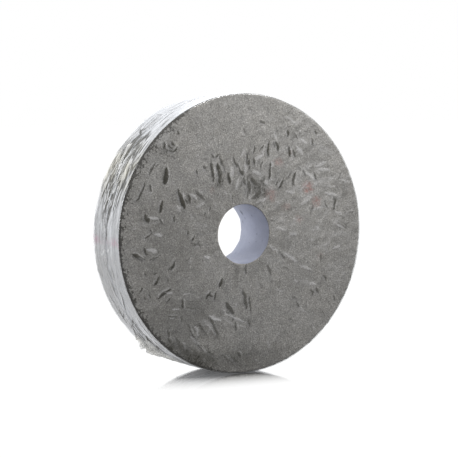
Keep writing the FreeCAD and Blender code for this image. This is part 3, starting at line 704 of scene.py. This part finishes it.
def random_face_creases(seed, count, strong):
    """Folds that point mostly away from the bore, thicker on the ground near
    it, for the parts of a face with no particular crease of their own."""
    rng = np.random.default_rng(seed)
    out = []
    while len(out) < count:
        r = 19 + 53 * rng.random() ** 0.8
        a = rng.random() * 360
        x, z = r * math.cos(math.radians(a)), r * math.sin(math.radians(a))
        direction = a + rng.normal(0, 38)
        length = (3 + 9 * rng.random() ** 1.6) if strong else (1.6 + 3.4 * rng.random())
        width = (1.3 + 1.3 * rng.random()) if strong else (0.7 + 0.6 * rng.random())
        out.append((x, z, direction % 180, length, width, (0.16 + 0.18 * rng.random()) if strong else (0.05 + 0.09 * rng.random())))
    return out


def random_rim_creases(seed, count, centres, spread, lo=0.15, hi=0.5):
    rng = np.random.default_rng(seed)
    out = []
    for _ in range(count):
        c = centres[int(rng.integers(len(centres)))]
        a = c + rng.normal(0, spread)
        y = rng.uniform(-13.5, 13.5)
        lean = (a - c) * 0.0 + rng.normal(0, 26)
        out.append((a % 360, y, lean, 4 + 9 * rng.random(), 0.9 + 1.4 * rng.random(), lo + (hi - lo) * rng.random()))
    return out


def strands(seed, count, centre, spread, lo, hi, lean):
    """Thin drawn lines that run round the rim."""
    rng = np.random.default_rng(seed)
    out = []
    for _ in range(count):
        a = centre + rng.normal(0, spread)
        out.append((a % 360, float(np.clip(rng.normal(-1, 6.5), -14, 14)), lean + rng.normal(0, 6), 7 + 11 * rng.random(), 0.50 + 0.45 * rng.random(), lo + (hi - lo) * rng.random()))
    return out


def leaves(u, v, creases, wrap=False, seed=0):
    """For points (u, v): the painted-shade mask, the painted highlight on the lip beside
    it, the height of the folds, the leaf outline and the painted shade inside it, from a
    list of leaf-shaped creases. With wrap, u is in degrees round the rim."""
    mask = np.zeros_like(u)
    lip = np.zeros_like(u)
    high = np.zeros_like(u)
    leaf = np.zeros_like(u)
    fold_shade = np.zeros_like(u)
    su = u * math.pi / 180 * R_FILM if wrap else u
    wu = 0.50 * noise(su / 2.6, v / 2.6, seed=seed + 1) + 0.22 * noise(su / 0.9, v / 0.9, seed=seed + 3)
    wv = 0.50 * noise(su / 2.6, v / 2.6, seed=seed + 2) + 0.22 * noise(su / 0.9, v / 0.9, seed=seed + 4)
    if wrap:                             # drawn tight round the rim: straighter
        wv = 0.38 * noise(su / 5.0, v / 2.6, seed=seed + 2) + 0.10 * noise(su / 2.0, v / 0.9, seed=seed + 4)
    for k, (cu, cv, ang, length, width, amt) in enumerate(creases):
        du = (turn(u - cu) * math.pi / 180 * R_FILM if wrap else u - cu)
        dv = v - cv
        sel = np.nonzero((np.abs(du) < length) & (np.abs(dv) < length))[0]
        if not len(sel):
            continue
        a = math.radians(ang)
        p = du[sel] + wu[sel]
        q = dv[sel] + wv[sel]
        along = p * math.cos(a) + q * math.sin(a)
        across = -p * math.sin(a) + q * math.cos(a)
        hand = 1 if (k * 7919) % 3 else -1
        bend = 0.014 * hand * (0.3 + (k * 104729 % 100) / 90)
        across = (across - bend * along**2) * hand
        e = np.clip(1 - (2 * along / length) ** 2, 0, 1)
        w = width * 0.60 * e**0.7 + 1e-6
        tt = across / w
        body = smooth(-1.15, 0.2, tt) * (1 - smooth(0.85, 1.15, tt)) * np.clip(e * 3, 0, 1)
        mask[sel] = np.maximum(mask[sel], amt * body)
        leaf[sel] = np.maximum(leaf[sel], body)
        wide = (np.abs(tt) < 2.6) & (e > 0)
        shade = amt * (1.0 - 0.22 * np.clip(tt, -1, 1))
        fold_shade[sel] = np.where(wide & (body >= leaf[sel] - 1e-6), shade, np.maximum(fold_shade[sel], np.where(wide, 0.8 * shade, 0)))
        beside = np.exp(-(((across - w - 0.45) / 0.38) ** 2)) * np.clip(e * 2, 0, 1)
        lip[sel] = np.maximum(lip[sel], amt * beside)
        crest = np.clip(1 - np.abs(tt - 0.7) / np.where(tt > 0.7, 0.6, 1.9), 0, 1)
        high[sel] = np.maximum(high[sel], (0.5 + amt) * min(width, 2.6) * 0.20 * crest * e)
    return mask, lip, high, leaf, fold_shade


def glaze(mask):
    """Share of shading for a relative darkening (as seen) of mask."""
    return 1 - np.clip(1 - mask, 0.05, 1) ** 2.2


# ---------------------------------------------------------------------------
# film plies
# ---------------------------------------------------------------------------
def build_ply(name, node, side, face_dark, face_lite, rim_dark, rim_lite, seed):
    step = 0.53
    off = 0.22                              # film surface above the stone
    r_rim = R_WHEEL + off
    y_face = HALF_W + off
    rho = 0.45
    r_hole = R_BORE + 0.90
    g = Rings()
    outer = []
    rs = np.linspace(r_hole, r_rim - rho, int((r_rim - rho - r_hole) / step) + 1)
    for r in [r_hole, r_hole + 0.03] + list(rs[1:]):
        outer.append(g.ring(r, y_face, 0, 1, count_for(r, step, 36), 0))
    n_rim = count_for(r_rim, 0.60, 36)
    for k in range(1, 5):
        a = k / 4 * math.pi / 2
        outer.append(g.ring(r_rim - rho + rho * math.sin(a), y_face - rho + rho * math.cos(a), math.sin(a), math.cos(a), n_rim, 1))
    ys = np.linspace(y_face - rho, 0.35, 36)[1:]
    for y in ys:
        outer.append(g.ring(r_rim, y, 1, 0, n_rim, 2))
    for a, b in zip(outer, outer[1:]):
        g.join(a, b)
    split = len(g.faces)
    # the underside, close over the stone and out of sight
    inner = [g.ring(R_WHEEL + 0.06, 0.35, 1, 0, n_rim, 9)]
    for y in (5.0, 10.0, HALF_W - 0.4):
        inner.append(g.ring(R_WHEEL + 0.06, y, 1, 0, 288, 9))
    for r in (R_WHEEL - 0.4, 66.0, 56.0, 46.0, 36.0, 26.0, 19.0):
        inner.append(g.ring(r, HALF_W + 0.05, 0, 1, 288 if r > 40 else 144, 9))
    inner.append(g.ring(r_hole, HALF_W + 0.05, 0, 1, g.rings[outer[0]][1], 9))
    chain = [outer[-1]] + inner + [outer[0]]
    for a, b in zip(chain, chain[1:]):
        g.join(a, b)
    r, y, t, nr, ny, tag = g.arrays()
    y, ny = y * side, ny * side
    deg = np.degrees(t)
    skin = tag != 9
    on_face = (tag == 0) | (tag == 1)
    x, z = r * np.cos(t), r * np.sin(t)
    fx = x if side < 0 else -x
    high = np.zeros_like(r)
    dark = np.zeros_like(r)
    lite = np.zeros_like(r)
    idx = np.nonzero(on_face)[0]
    leaf = np.zeros_like(r)
    fold_shade = np.zeros_like(r)
    m1, lip, h1, l1, t1 = leaves(fx[idx], z[idx], face_dark, seed=seed)
    m2, _, h2, _, _ = leaves(fx[idx], z[idx], face_lite, seed=seed + 40)
    leaf[idx] = l1
    quiet = 1.0 if side < 0 else 0.72
    fold_shade[idx] = t1 * 1.15 * quiet
    dark[idx] = m1 * 0.70 * quiet
    lite[idx] = np.maximum(1.05 * m2, 0.42 * lip) * quiet
    high[idx] = np.maximum(h1, 0.8 * h2)
    idx = np.nonzero((tag == 2) | (tag == 1))[0]
    m1, lip, h1, l1, t1 = leaves(deg[idx], y[idx], rim_dark, True, seed + 80)
    m2, _, h2, _, _ = leaves(deg[idx], y[idx], rim_lite, True, seed + 120)
    leaf[idx] = np.maximum(leaf[idx] * (tag[idx] == 1), l1)
    calm = 1 - 0.55 * smooth(8.0, 13.0, y[idx]) * (np.abs(turn(deg[idx] - 147)) < 24)
    fold_shade[idx] = np.where(l1 > 0, 1.22 * t1 * calm, fold_shade[idx])
    m1 = m1 * calm
    dark[idx] = np.maximum(dark[idx] * (tag[idx] == 1), 0.8 * m1)
    lite[idx] = np.maximum(lite[idx] * (tag[idx] == 1), np.maximum(1.1 * m2, 0.6 * lip))
    high[idx] = np.maximum(high[idx] * (tag[idx] == 1), np.maximum(h1, 0.8 * h2))
    # wide, shallow looseness, long lines drawn round the rim, rays near the bore
    loose = 0.10 * noise(x / 9.0, y / 9.0, z / 9.0, seed=seed + 3)
    lines = 0.045 * noise(deg / 9.0, y / 0.9, seed=seed + 4) * (tag == 2)
    rays = 0.10 * noise(deg / 5.0, r / 14.0, seed=seed + 5) * np.exp(-((r - 17) / 16.0) ** 2) * (tag == 0)
    fine = 0.020 * fbm(x / 2.4, y / 2.4, z / 2.4, seed=seed + 6, octaves=2)
    high = np.where(tag >= 1, high * (1 - 0.85 * smooth(HALF_W - 6.0, HALF_W - 3.0, np.abs(y))), high)
    lift = np.where(skin, high + loose + lines + rays + fine + 0.03, 0)
    lift = np.where(skin, np.maximum(lift, -0.10), 0)
    edge = np.clip((r - r_hole) / 1.2, 0, 1) * np.where(tag == 2, np.clip((np.abs(y) - 0.35) / 0.6, 0, 1), 1)
    lift = lift * np.where(skin, edge, 0)
    rr, yy = r + nr * lift, y + ny * lift
    hole_wave = 0.10 * noise(deg / 14.0, 0 * deg, seed=seed + 9) * np.clip(1 - (r - r_hole) / 1.5, 0, 1) * (tag == 0)
    rr = rr + hole_wave
    co = np.stack([rr * np.cos(t), yy, rr * np.sin(t)], 1)
    co[:, 2] = np.maximum(co[:, 2], FLOOR_Z / MM + np.where(skin, 0.0, 0.05))
    # how milky the film is: little on the faces, more where it is drawn and
    # doubled on the rim, most towards the bag's corners
    corner = np.zeros_like(r)
    for gdeg in GATHERS:
        corner = np.maximum(corner, np.exp(-((turn(deg - gdeg - 3) / 16.0) ** 2)))
    rimness = (tag == 2) * 1.0
    haze = 0.020 + 0.030 * np.clip(fbm(fx / 12.0, z / 12.0, seed=seed + 7, octaves=3) + 0.3, 0, 1) * (tag == 0)
    # milkiness of the drawn film, plus a painted reflection: the rim made milkier, so whiter, about 112 degrees at the
    # upper left
    milky = 0.36 - 0.05 * side + 0.30 * np.exp(-(((deg - 112) / 22.0) ** 2))
    haze = haze + rimness * (milky + 0.10 * corner + 0.10 * noise(deg / 14.0, y / 1.1, seed=seed + 8) + 0.06 * noise(deg / 5.0, y / 0.7, seed=seed + 28))
    streak = noise(deg / 4.0, r / 9.0, seed=seed + 13) * np.exp(-((r - 22) / 17.0) ** 2)
    haze = haze + (tag == 0) * 0.05 * np.clip(streak, 0, 1)
    # painted shade between the pale streaks near the bore and in loose patches on the faces
    soft = (tag == 0) * (0.07 * np.clip(-streak - 0.05, 0, 1) + 0.035 * np.clip(fbm(fx / 5.0, z / 5.0, seed=seed + 15, octaves=3), 0, 1))
    # painted highlights and painted shade in long drawn streaks, strongest to the right and above
    drawn = noise((fx * 0.94 + z * 0.34) / 5.2, (z * 0.94 - fx * 0.34) / 1.5, seed=seed + 31) + 0.5 * noise((fx * 0.94 + z * 0.34) / 2.6, (z * 0.94 - fx * 0.34) / 0.9, seed=seed + 32)
    where = (tag == 0) * (0.30 + 0.70 * smooth(0, 28, fx) * smooth(-45, 10, z)) * smooth(18, 26, r)
    lite = np.maximum(lite, 0.10 * np.clip(drawn - 0.25, 0, 1) * where)
    soft = np.maximum(soft, 0.085 * np.clip(-drawn - 0.20, 0, 1) * where)
    grainy = 0.62 + 0.38 * np.clip(1.6 * noise(fx / 0.95, z / 0.95, seed=seed + 16), -1, 1)
    # painted soft mottled shadows, broad painted shade and painted pale highlight bands on the faces
    mottle = np.zeros_like(r)
    if side < 0:
        mottle = (tag == 0) * patches(fx, z, FACE_SHADE, seed + 17) * grainy
        soft = np.maximum(soft, np.maximum(0.55 * mottle, (tag == 0) * patches(fx, z, FACE_BROAD_SHADE, seed + 19)))
        lite = np.maximum(lite, (tag == 0) * 0.95 * patches(fx, z, FACE_PALE, seed + 18) * grainy)
    else:
        turned = [(-a, b, c, d, -e, f) for a, b, c, d, e, f in FACE_SHADE[3:]]
        mottle = (tag == 0) * patches(fx, -z, turned, seed + 17) * grainy
        soft = np.maximum(soft, 0.55 * mottle)
        lite = np.maximum(lite, (tag == 0) * 0.75 * patches(fx, -z, FACE_PALE[3:], seed + 18) * grainy)
    dark = glaze(np.maximum(dark, soft))
    fold_shade = np.where(leaf > 0.02, glaze(fold_shade), 0)
    mottle = glaze(np.clip(1.7 * mottle, 0, 0.9))
    # painted highlight, warm and pale, on the rim about 150 degrees
    warm_highlight_patch = (tag == 2) * np.clip(1.25 - np.hypot(turn(deg - 149.5) / 6.0, (y - 1.8) / 4.6) + 0.5 * noise(deg / 1.6, y / 2.2, seed=92), 0, 1)
    lite = np.maximum(lite, 0.55 * warm_highlight_patch * (0.7 + 0.5 * noise(deg / 2.2, y / 0.6, seed=93)))
    lite = lite * (1 - 0.75 * np.clip(leaf, 0, 1) * (tag == 2))
    lite = np.where((dark > 0.25) & (tag != 2), lite * 0.6, lite)
    blush = np.zeros_like(r)
    if side < 0 or side > 0:
        b = np.exp(-(np.abs(turn(deg - 181.2 - 0.5 * noise(deg * 0, y / 1.6, seed=94)) / 1.7) ** 3)) * rimness
        ends = 0.30 + 0.70 * smooth(5.0, 9.0, np.abs(y))
        blush = 0.46 * b * ends * np.clip(0.60 + 0.9 * noise(deg / 0.9, y / 1.3, seed=90), 0, 1)
    warm = rimness * np.exp(-(((deg - 151) / 11.0) ** 2)) * np.clip(0.7 + 0.6 * noise(deg / 3.0, y / 3.0, seed=91), 0, 1)
    warm = np.maximum(warm, warm_highlight_patch)
    # painted shade: less milky, so darker, on the lower left of the rim between about 182 and 236 degrees
    haze = haze * (1 - 0.30 * rimness * smooth(182, 190, deg) * smooth(236, 228, deg))
    top_highlight = (tag >= 1) * np.exp(-((turn(deg - 86) / 19.0) ** 4))         # painted highlight over the top of the rim, where the painted fold shade is faded out
    dark, leaf, lite = dark * (1 - 0.8 * top_highlight), leaf * (1 - top_highlight), np.maximum(lite * (1 - 0.7 * top_highlight), 0.35 * top_highlight * rimness)
    for arr in (dark, lite, haze, blush, warm, leaf, fold_shade, mottle):
        arr[~skin] = 0
    faces = g.faces
    flip = signed_volume(co, faces) < 0
    obj = make_object(name, co, faces, MAT_FILM, flip, {"dark": dark, "lite": lite, "haze": haze, "blush": blush, "warm": warm, "leaf": leaf, "fold_shade": fold_shade, "mottle": mottle})
    obj.data.materials.append(MAT_UNDER)
    which = np.zeros(len(obj.data.polygons), np.int32)
    which[split:] = 1
    obj.data.polygons.foreach_set("material_index", which)
    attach(obj, "root")
    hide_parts(node)
    return obj


# ---------------------------------------------------------------------------
# the weld line round the middle of the rim
# ---------------------------------------------------------------------------
def build_seam():
    g = Rings()
    n = 900
    section = [(R_WHEEL + 0.08, -0.55), (R_FILM - 0.02, -0.62), (R_FILM + 0.10, -0.38), (R_FILM + 0.17, 0.0), (R_FILM + 0.10, 0.38), (R_FILM - 0.02, 0.62), (R_WHEEL + 0.08, 0.55)]
    ids = [g.ring(r, y, 1, 0, n) for r, y in section]
    for a, b in zip(ids, ids[1:] + ids[:1]):
        g.join(a, b)
    r, y, t, nr, ny, tag = g.arrays()
    deg = np.degrees(t)
    top = np.clip((r - R_WHEEL - 0.1) / 0.3, 0, 1)
    ruffle = np.clip(noise(deg / 1.1, 0 * deg, seed=301), -0.2, 1) * 0.12 + 0.10 * noise(deg / 4.0, 0 * deg, seed=302)
    rr = r + top * ruffle
    yy = y * (1 + 0.25 * noise(deg / 1.6, 0 * deg, seed=303)) + 0.28 * noise(deg / 6.0, 0 * deg, seed=304)
    co = np.stack([rr * np.cos(t), yy, rr * np.sin(t)], 1)
    co[:, 2] = np.maximum(co[:, 2], FLOOR_Z / MM)
    # painted shade along the weld's middle, strongest about 187 degrees, and painted highlights along it
    shown = smooth(0, 10, 24 - np.abs(turn(deg - 187)))
    dark = (0.06 + 0.34 * shown * (0.6 + 0.4 * noise(deg / 2.0, 0 * deg, seed=305))) * np.exp(-((y - 0.1) / 0.35) ** 2)
    lite = 0.20 * np.clip(noise(deg / 1.8, y / 0.5, seed=306), 0, 1)
    haze = np.full_like(r, 0.30)
    flip = signed_volume(co, g.faces) < 0
    obj = make_object("film_weld_line", co, g.faces, MAT_WELD, flip, {"dark": dark, "lite": lite, "haze": haze, "blush": 0 * r, "warm": 0 * r})
    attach(obj, "root")
    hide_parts("film_edge_seam")
    return obj


# ---------------------------------------------------------------------------
# the gathered corners: several thin pleats side by side, drawn together and
# laid over along the rim, frayed at their free edge
# ---------------------------------------------------------------------------
def build_gathers():
    verts, faces = [], []
    att = {"dark": [], "lite": [], "haze": [], "blush": [], "warm": []}
    base = 0
    for gi, gdeg in enumerate(GATHERS):
        rng = np.random.default_rng(700 + gi)
        proud = gi == 2
        pleats = 12 if proud else 8
        for p in range(pleats):
            nu, nv = (84, 8) if proud else (56, 7)
            u = np.linspace(0, 1, nu)
            v = np.linspace(0, 1, nv)
            U, V = np.meshgrid(u, v, indexing="ij")
            lead = (7.0 if proud else 8.5) + rng.uniform(-1.5, 1.5)
            tail = (25.0 if proud else 21.0) + rng.uniform(-7, 2)
            deg = gdeg - (6.0 if proud else 0) - lead + (lead + tail) * U
            if proud:
                y0 = -1.0 + p * 1.2 + rng.uniform(-0.4, 0.4)
                top = 2.15 * rng.uniform(0.45, 1.15)
                lean = rng.uniform(0.4, 1.2)
            else:
                y0 = (p - (pleats - 1) / 2) * (1.1 if gi == 1 else 1.6) + rng.uniform(-0.5, 0.5)
                top = (0.75 if gi == 1 else 2.3) * (0.55 + 0.45 * math.cos((p - (pleats - 1) / 2) / pleats * 2.2)) * rng.uniform(0.75, 1.1)
                lean = rng.uniform(0.5, 1.3) * (1 if p % 2 else -1)
            k0 = lead / (lead + tail)
            hump = np.where(U < k0, smooth(0, 1, U / k0), (1 - (0.52 if proud else 0.0) * np.clip((U - k0) / 0.45, 0, 1)) * (1 - smooth(0, 1, (U - k0) / (1 - k0)) ** 1.3))
            fray = 1 + 0.40 * noise(U * 15 + p * 7, V * 0 + gi * 5, seed=401) + (0.52 if proud else 0.36) * noise(U * 36 + p * 3, V * 0 + gi, seed=402)
            height = top * hump * np.clip(fray, 0.25, 1.6)
            wave = 0.60 * noise(U * 6 + p, V * 1.2, seed=403 + gi) + 0.30 * noise(U * 16 + p, V * 2, seed=404 + gi)
            yy = y0 * (1 - (0 if proud else 0.25) * hump * V) + (lean * V**1.3 + wave * V) * hump
            yy = np.clip(yy, -13.5, 14.6)
            drift = 2.4 * V * hump * rng.uniform(0.2, 1.0)
            rr = R_WHEEL + 0.15 + V * height
            half = 0.09 * (1 - 0.55 * V)
            tt = np.radians(deg + drift)
            for sgn in (-1, 1):
                verts.append(np.stack([rr * np.cos(tt), yy + sgn * half, rr * np.sin(tt)], -1).reshape(-1, 3))
            N = nu * nv

            def at(i, j, k):
                return base + k * N + i * nv + j

            for i in range(nu - 1):
                for j in range(nv - 1):
                    faces.append((at(i, j, 0), at(i + 1, j, 0), at(i + 1, j + 1, 0), at(i, j + 1, 0)))
                    faces.append((at(i, j, 1), at(i, j + 1, 1), at(i + 1, j + 1, 1), at(i + 1, j, 1)))
                faces.append((at(i, 0, 0), at(i, 0, 1), at(i + 1, 0, 1), at(i + 1, 0, 0)))
                faces.append((at(i, nv - 1, 0), at(i + 1, nv - 1, 0), at(i + 1, nv - 1, 1), at(i, nv - 1, 1)))
            for j in range(nv - 1):
                faces.append((at(0, j, 0), at(0, j + 1, 0), at(0, j + 1, 1), at(0, j, 1)))
                faces.append((at(nu - 1, j, 0), at(nu - 1, j, 1), at(nu - 1, j + 1, 1), at(nu - 1, j + 1, 0)))
            base += 2 * N
            for _ in (0, 1):
                # painted shade, darker towards the root of each pleat, and painted highlights along the pleats
                att["dark"].append((0.30 * np.clip(noise(U * 13 + p, V * 1.5, seed=405), 0, 1) * (1 - 0.5 * V)).ravel())
                att["lite"].append(((0.75 if proud else 0.35) * np.clip(noise(U * 17 + p, V * 2 + 5, seed=406), 0, 1)).ravel())
                streak = noise(U * (46 if proud else 22) + p, V * 1.2, seed=407)
                att["haze"].append(np.clip((0.34 if proud else 0.36) + (-0.06 if proud else 0.26) * V + (0.34 if proud else 0.15) * streak, 0.04, 0.85).ravel())
                att["blush"].append(0 * U.ravel())
                att["warm"].append((0.42 if proud else 0.3) + 0 * U.ravel())
    co = np.concatenate(verts)
    co[:, 2] = np.maximum(co[:, 2], FLOOR_Z / MM)
    flip = signed_volume(co, faces) < 0
    obj = make_object("film_corner_pleats", co, faces, MAT_WELD, flip, {k: np.concatenate(v) for k, v in att.items()})
    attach(obj, "root")
    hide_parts("film_corner_gathers")
    return obj


# painted shade along thin dark lines and painted highlights along thin pale lines round the rim
STRANDS_DARK = (
    strands(41, 50, 152, 9, 0.28, 0.60, 7) + strands(42, 26, 168, 7, 0.24, 0.50, 4) + strands(43, 74, 232, 9, 0.26, 0.58, 5)
    + strands(44, 20, 200, 12, 0.06, 0.16, 0) + strands(45, 14, 124, 8, 0.08, 0.20, 8) + strands(46, 54, 57, 15, 0.16, 0.36, 0) + strands(47, 54, 327, 15, 0.16, 0.36, 0)
)
STRANDS_LITE = (
    strands(51, 46, 147, 9, 0.22, 0.55, 4) + strands(52, 28, 168, 9, 0.14, 0.40, 3) + strands(53, 40, 232, 10, 0.16, 0.50, 10)
    + strands(54, 26, 200, 14, 0.05, 0.16, 0) + strands(55, 20, 124, 9, 0.12, 0.35, 8) + strands(56, 60, 57, 16, 0.16, 0.45, 0) + strands(57, 60, 327, 16, 0.16, 0.45, 0)
)
abrasive = build_abrasive()
bush = build_bush()
front = build_ply(
    "film_ply_front",
    "shrink_film_front",
    -1,
    FACE_DARK + random_face_creases(5, 150, False),
    FACE_LITE + random_face_creases(6, 110, False),
    RIM_DARK + STRANDS_DARK + random_rim_creases(7, 60, GATHERS[:1] + GATHERS[3:], 15) + random_rim_creases(8, 22, (147.0,), 13, 0.12, 0.40),
    RIM_LITE + STRANDS_LITE + random_rim_creases(9, 60, GATHERS[:1] + GATHERS[3:], 16) + random_rim_creases(10, 22, (147.0,), 13, 0.12, 0.40),
    1000,
)
back = build_ply(
    "film_ply_back",
    "shrink_film_back",
    1,
    random_face_creases(21, 85, True) + random_face_creases(22, 150, False),
    random_face_creases(23, 45, True) + random_face_creases(24, 110, False),
    RIM_DARK + STRANDS_DARK + random_rim_creases(27, 60, GATHERS[:1] + GATHERS[3:], 15) + random_rim_creases(28, 26, (147.0,), 13, 0.12, 0.40),
    RIM_LITE + STRANDS_LITE + random_rim_creases(29, 60, GATHERS[:1] + GATHERS[3:], 16) + random_rim_creases(30, 26, (147.0,), 13, 0.12, 0.40),
    2000,
)
seam = build_seam()
gathers = build_gathers()

# ---------------------------------------------------------------------------
# stage: pale floor that glows, with a painted contact shadow and a painted shadow under the wheel in its fill glow;
# pale surround, soft lights
# ---------------------------------------------------------------------------
scene = bpy.context.scene
scene.view_settings.view_transform = "Standard"
scene.view_settings.look = "None"

mesh = bpy.data.meshes.new("floor")
s = 4.0
mesh.from_pydata([(-s, -s, FLOOR_Z), (s, -s, FLOOR_Z), (s, s, FLOOR_Z), (-s, s, FLOOR_Z)], [], [(0, 1, 2, 3)])
floor = bpy.data.objects.new("floor", mesh)
scene.collection.objects.link(floor)
m = Nodes("floor_white")
# the camera sees the floor glow white; where the AO node finds the wheel close, the glow gives way to the real
# reflection of the wheel: a painted contact shadow
occ = m.add("ShaderNodeAmbientOcclusion")
occ.samples = 16
occ.inputs["Distance"].default_value = 0.049
near = m.math("POWER", m.math("MULTIPLY", m.math("SUBTRACT", 1.0, occ.outputs["AO"]), 2.3, clamp=True), 1.5)
lit = m.add("ShaderNodeEmission")
lit.inputs["Color"].default_value = (1, 1, 1, 1)
lit.inputs["Strength"].default_value = 1.06
glo = m.add("ShaderNodeBsdfGlossy")
glo.inputs["Color"].default_value = (1, 1, 1, 1)
glo.inputs["Roughness"].default_value = 0.07
seen = m.shader_mix(m.math("MULTIPLY", near, 0.975), lit.outputs[0], glo.outputs[0])
# other rays see the floor glow as a dim fill light, dimmer in front of the wheel and darkest under it: a painted shadow
floor_fill_glow = m.add("ShaderNodeEmission")
floor_fill_glow.inputs["Color"].default_value = (1, 1, 1, 1)
place = m.add("ShaderNodeSeparateXYZ")
m.link(m.coords(), place.inputs[0])
bright = m.add("ShaderNodeMapRange")
bright.interpolation_type = "SMOOTHSTEP"
bright.inputs["From Min"].default_value = -0.045
bright.inputs["From Max"].default_value = 0.0
bright.inputs["To Min"].default_value = 0.24
bright.inputs["To Max"].default_value = 1.05
m.link(place.outputs["Y"], bright.inputs["Value"])
flat = m.add("ShaderNodeVectorMath")
flat.operation = "LENGTH"
m.link(m.coords((1.0, 0.8, 0.0)), flat.inputs[0])
fill_shadow_under_wheel = m.add("ShaderNodeMapRange")
fill_shadow_under_wheel.interpolation_type = "SMOOTHSTEP"
fill_shadow_under_wheel.inputs["To Min"].default_value = 0.12
fill_shadow_under_wheel.inputs["From Min"].default_value = 0.004
fill_shadow_under_wheel.inputs["From Max"].default_value = 0.060
m.link(flat.outputs["Value"], fill_shadow_under_wheel.inputs["Value"])
m.link(m.math("MULTIPLY", bright.outputs[0], fill_shadow_under_wheel.outputs[0]), floor_fill_glow.inputs["Strength"])
path = m.add("ShaderNodeLightPath")
m.link(m.shader_mix(path.outputs["Is Camera Ray"], floor_fill_glow.outputs[0], seen), m.out.inputs[0])
floor.data.materials.append(m.mat)

world = bpy.data.worlds.new("studio")
scene.world = world
world.use_nodes = True
wt = world.node_tree
wt.nodes.clear()
wout = wt.nodes.new("ShaderNodeOutputWorld")
tc = wt.nodes.new("ShaderNodeTexCoord")
sep = wt.nodes.new("ShaderNodeSeparateXYZ")
wt.links.new(tc.outputs["Generated"], sep.inputs[0])


def wmath(op, x, y):
    n = wt.nodes.new("ShaderNodeMath")
    n.operation = op
    for k, v in enumerate((x, y)):
        if isinstance(v, (int, float)):
            n.inputs[k].default_value = v
        else:
            wt.links.new(v, n.inputs[k])
    return n.outputs[0]


def wstep(sock, lo, hi, from_value=0.0, to_value=1.0):
    n = wt.nodes.new("ShaderNodeMapRange")
    n.interpolation_type = "SMOOTHSTEP"
    n.inputs["From Min"].default_value = lo
    n.inputs["From Max"].default_value = hi
    n.inputs["To Min"].default_value = from_value
    n.inputs["To Max"].default_value = to_value
    wt.links.new(sock, n.inputs["Value"])
    return n.outputs[0]


# a white sweep behind, brighter on the left; a soft box above; a dim room in front
high = wstep(sep.outputs["Z"], 0.55, 0.75)
behind = wstep(sep.outputs["Y"], -0.15, 0.25)
sweep = wmath("MULTIPLY", behind, wstep(sep.outputs["X"], -0.15, 0.15, 1.30, 1.04))
room = wmath("MULTIPLY", wmath("SUBTRACT", 1.0, behind), wstep(sep.outputs["X"], -0.15, 0.15, 0.36, 0.30))
around = wmath("MULTIPLY", wmath("ADD", sweep, room), wmath("SUBTRACT", 1.0, high))
bg_soft = wt.nodes.new("ShaderNodeBackground")
bg_soft.inputs["Color"].default_value = (0.99, 0.995, 1.0, 1)
wt.links.new(wmath("ADD", around, wmath("MULTIPLY", high, 1.10)), bg_soft.inputs["Strength"])
bg_white = wt.nodes.new("ShaderNodeBackground")
bg_white.inputs["Color"].default_value = (1, 1, 1, 1)
bg_white.inputs["Strength"].default_value = 1.0
lp = wt.nodes.new("ShaderNodeLightPath")
mx = wt.nodes.new("ShaderNodeMixShader")
wt.links.new(lp.outputs["Is Camera Ray"], mx.inputs[0])
wt.links.new(bg_soft.outputs[0], mx.inputs[1])
wt.links.new(bg_white.outputs[0], mx.inputs[2])
wt.links.new(mx.outputs[0], wout.inputs[0])


def area_light(name, place, target, size, power, colour=(1, 1, 1)):
    data = bpy.data.lights.new(name, "AREA")
    data.shape = "RECTANGLE"
    data.size, data.size_y = size
    data.energy = power
    data.color = colour
    obj = bpy.data.objects.new(name, data)
    scene.collection.objects.link(obj)
    obj.location = place
    obj.rotation_mode = "QUATERNION"
    obj.rotation_quaternion = (Vector(place) - Vector(target)).to_track_quat("Z", "Y")
    obj.visible_camera = False
    return obj


area_light("front_box", (0.11, -0.20, 0.23), (0.0, 0.0, 0.0), (0.16, 0.16), 1.18, (1.0, 0.99, 0.97))
area_light("left_box", (-0.45, 0.25, 0.15), (0.0, 0.0, 0.0), (0.30, 0.30), 1.0, (0.97, 0.98, 1.0))

# ---------------------------------------------------------------------------
# camera
# ---------------------------------------------------------------------------
AZ, EL, DIST = math.radians(-30.53), math.radians(4.93), 1.016
back_dir = Vector((math.sin(AZ) * math.cos(EL), -math.cos(AZ) * math.cos(EL), math.sin(EL)))
cam_data = bpy.data.cameras.new("camera")
cam_data.sensor_width = 36.0
cam_data.sensor_fit = "HORIZONTAL"
cam_data.lens = 1871.0 / 458.0 * 36.0
cam_data.clip_start, cam_data.clip_end = 0.02, 50
cam = bpy.data.objects.new("camera", cam_data)
scene.collection.objects.link(cam)
cam.location = back_dir * DIST
aim = Vector((-0.00030, 0.00018, 0.00164))
cam.rotation_mode = "QUATERNION"
cam.rotation_quaternion = (cam.location - aim).to_track_quat("Z", "Y")
scene.camera = cam
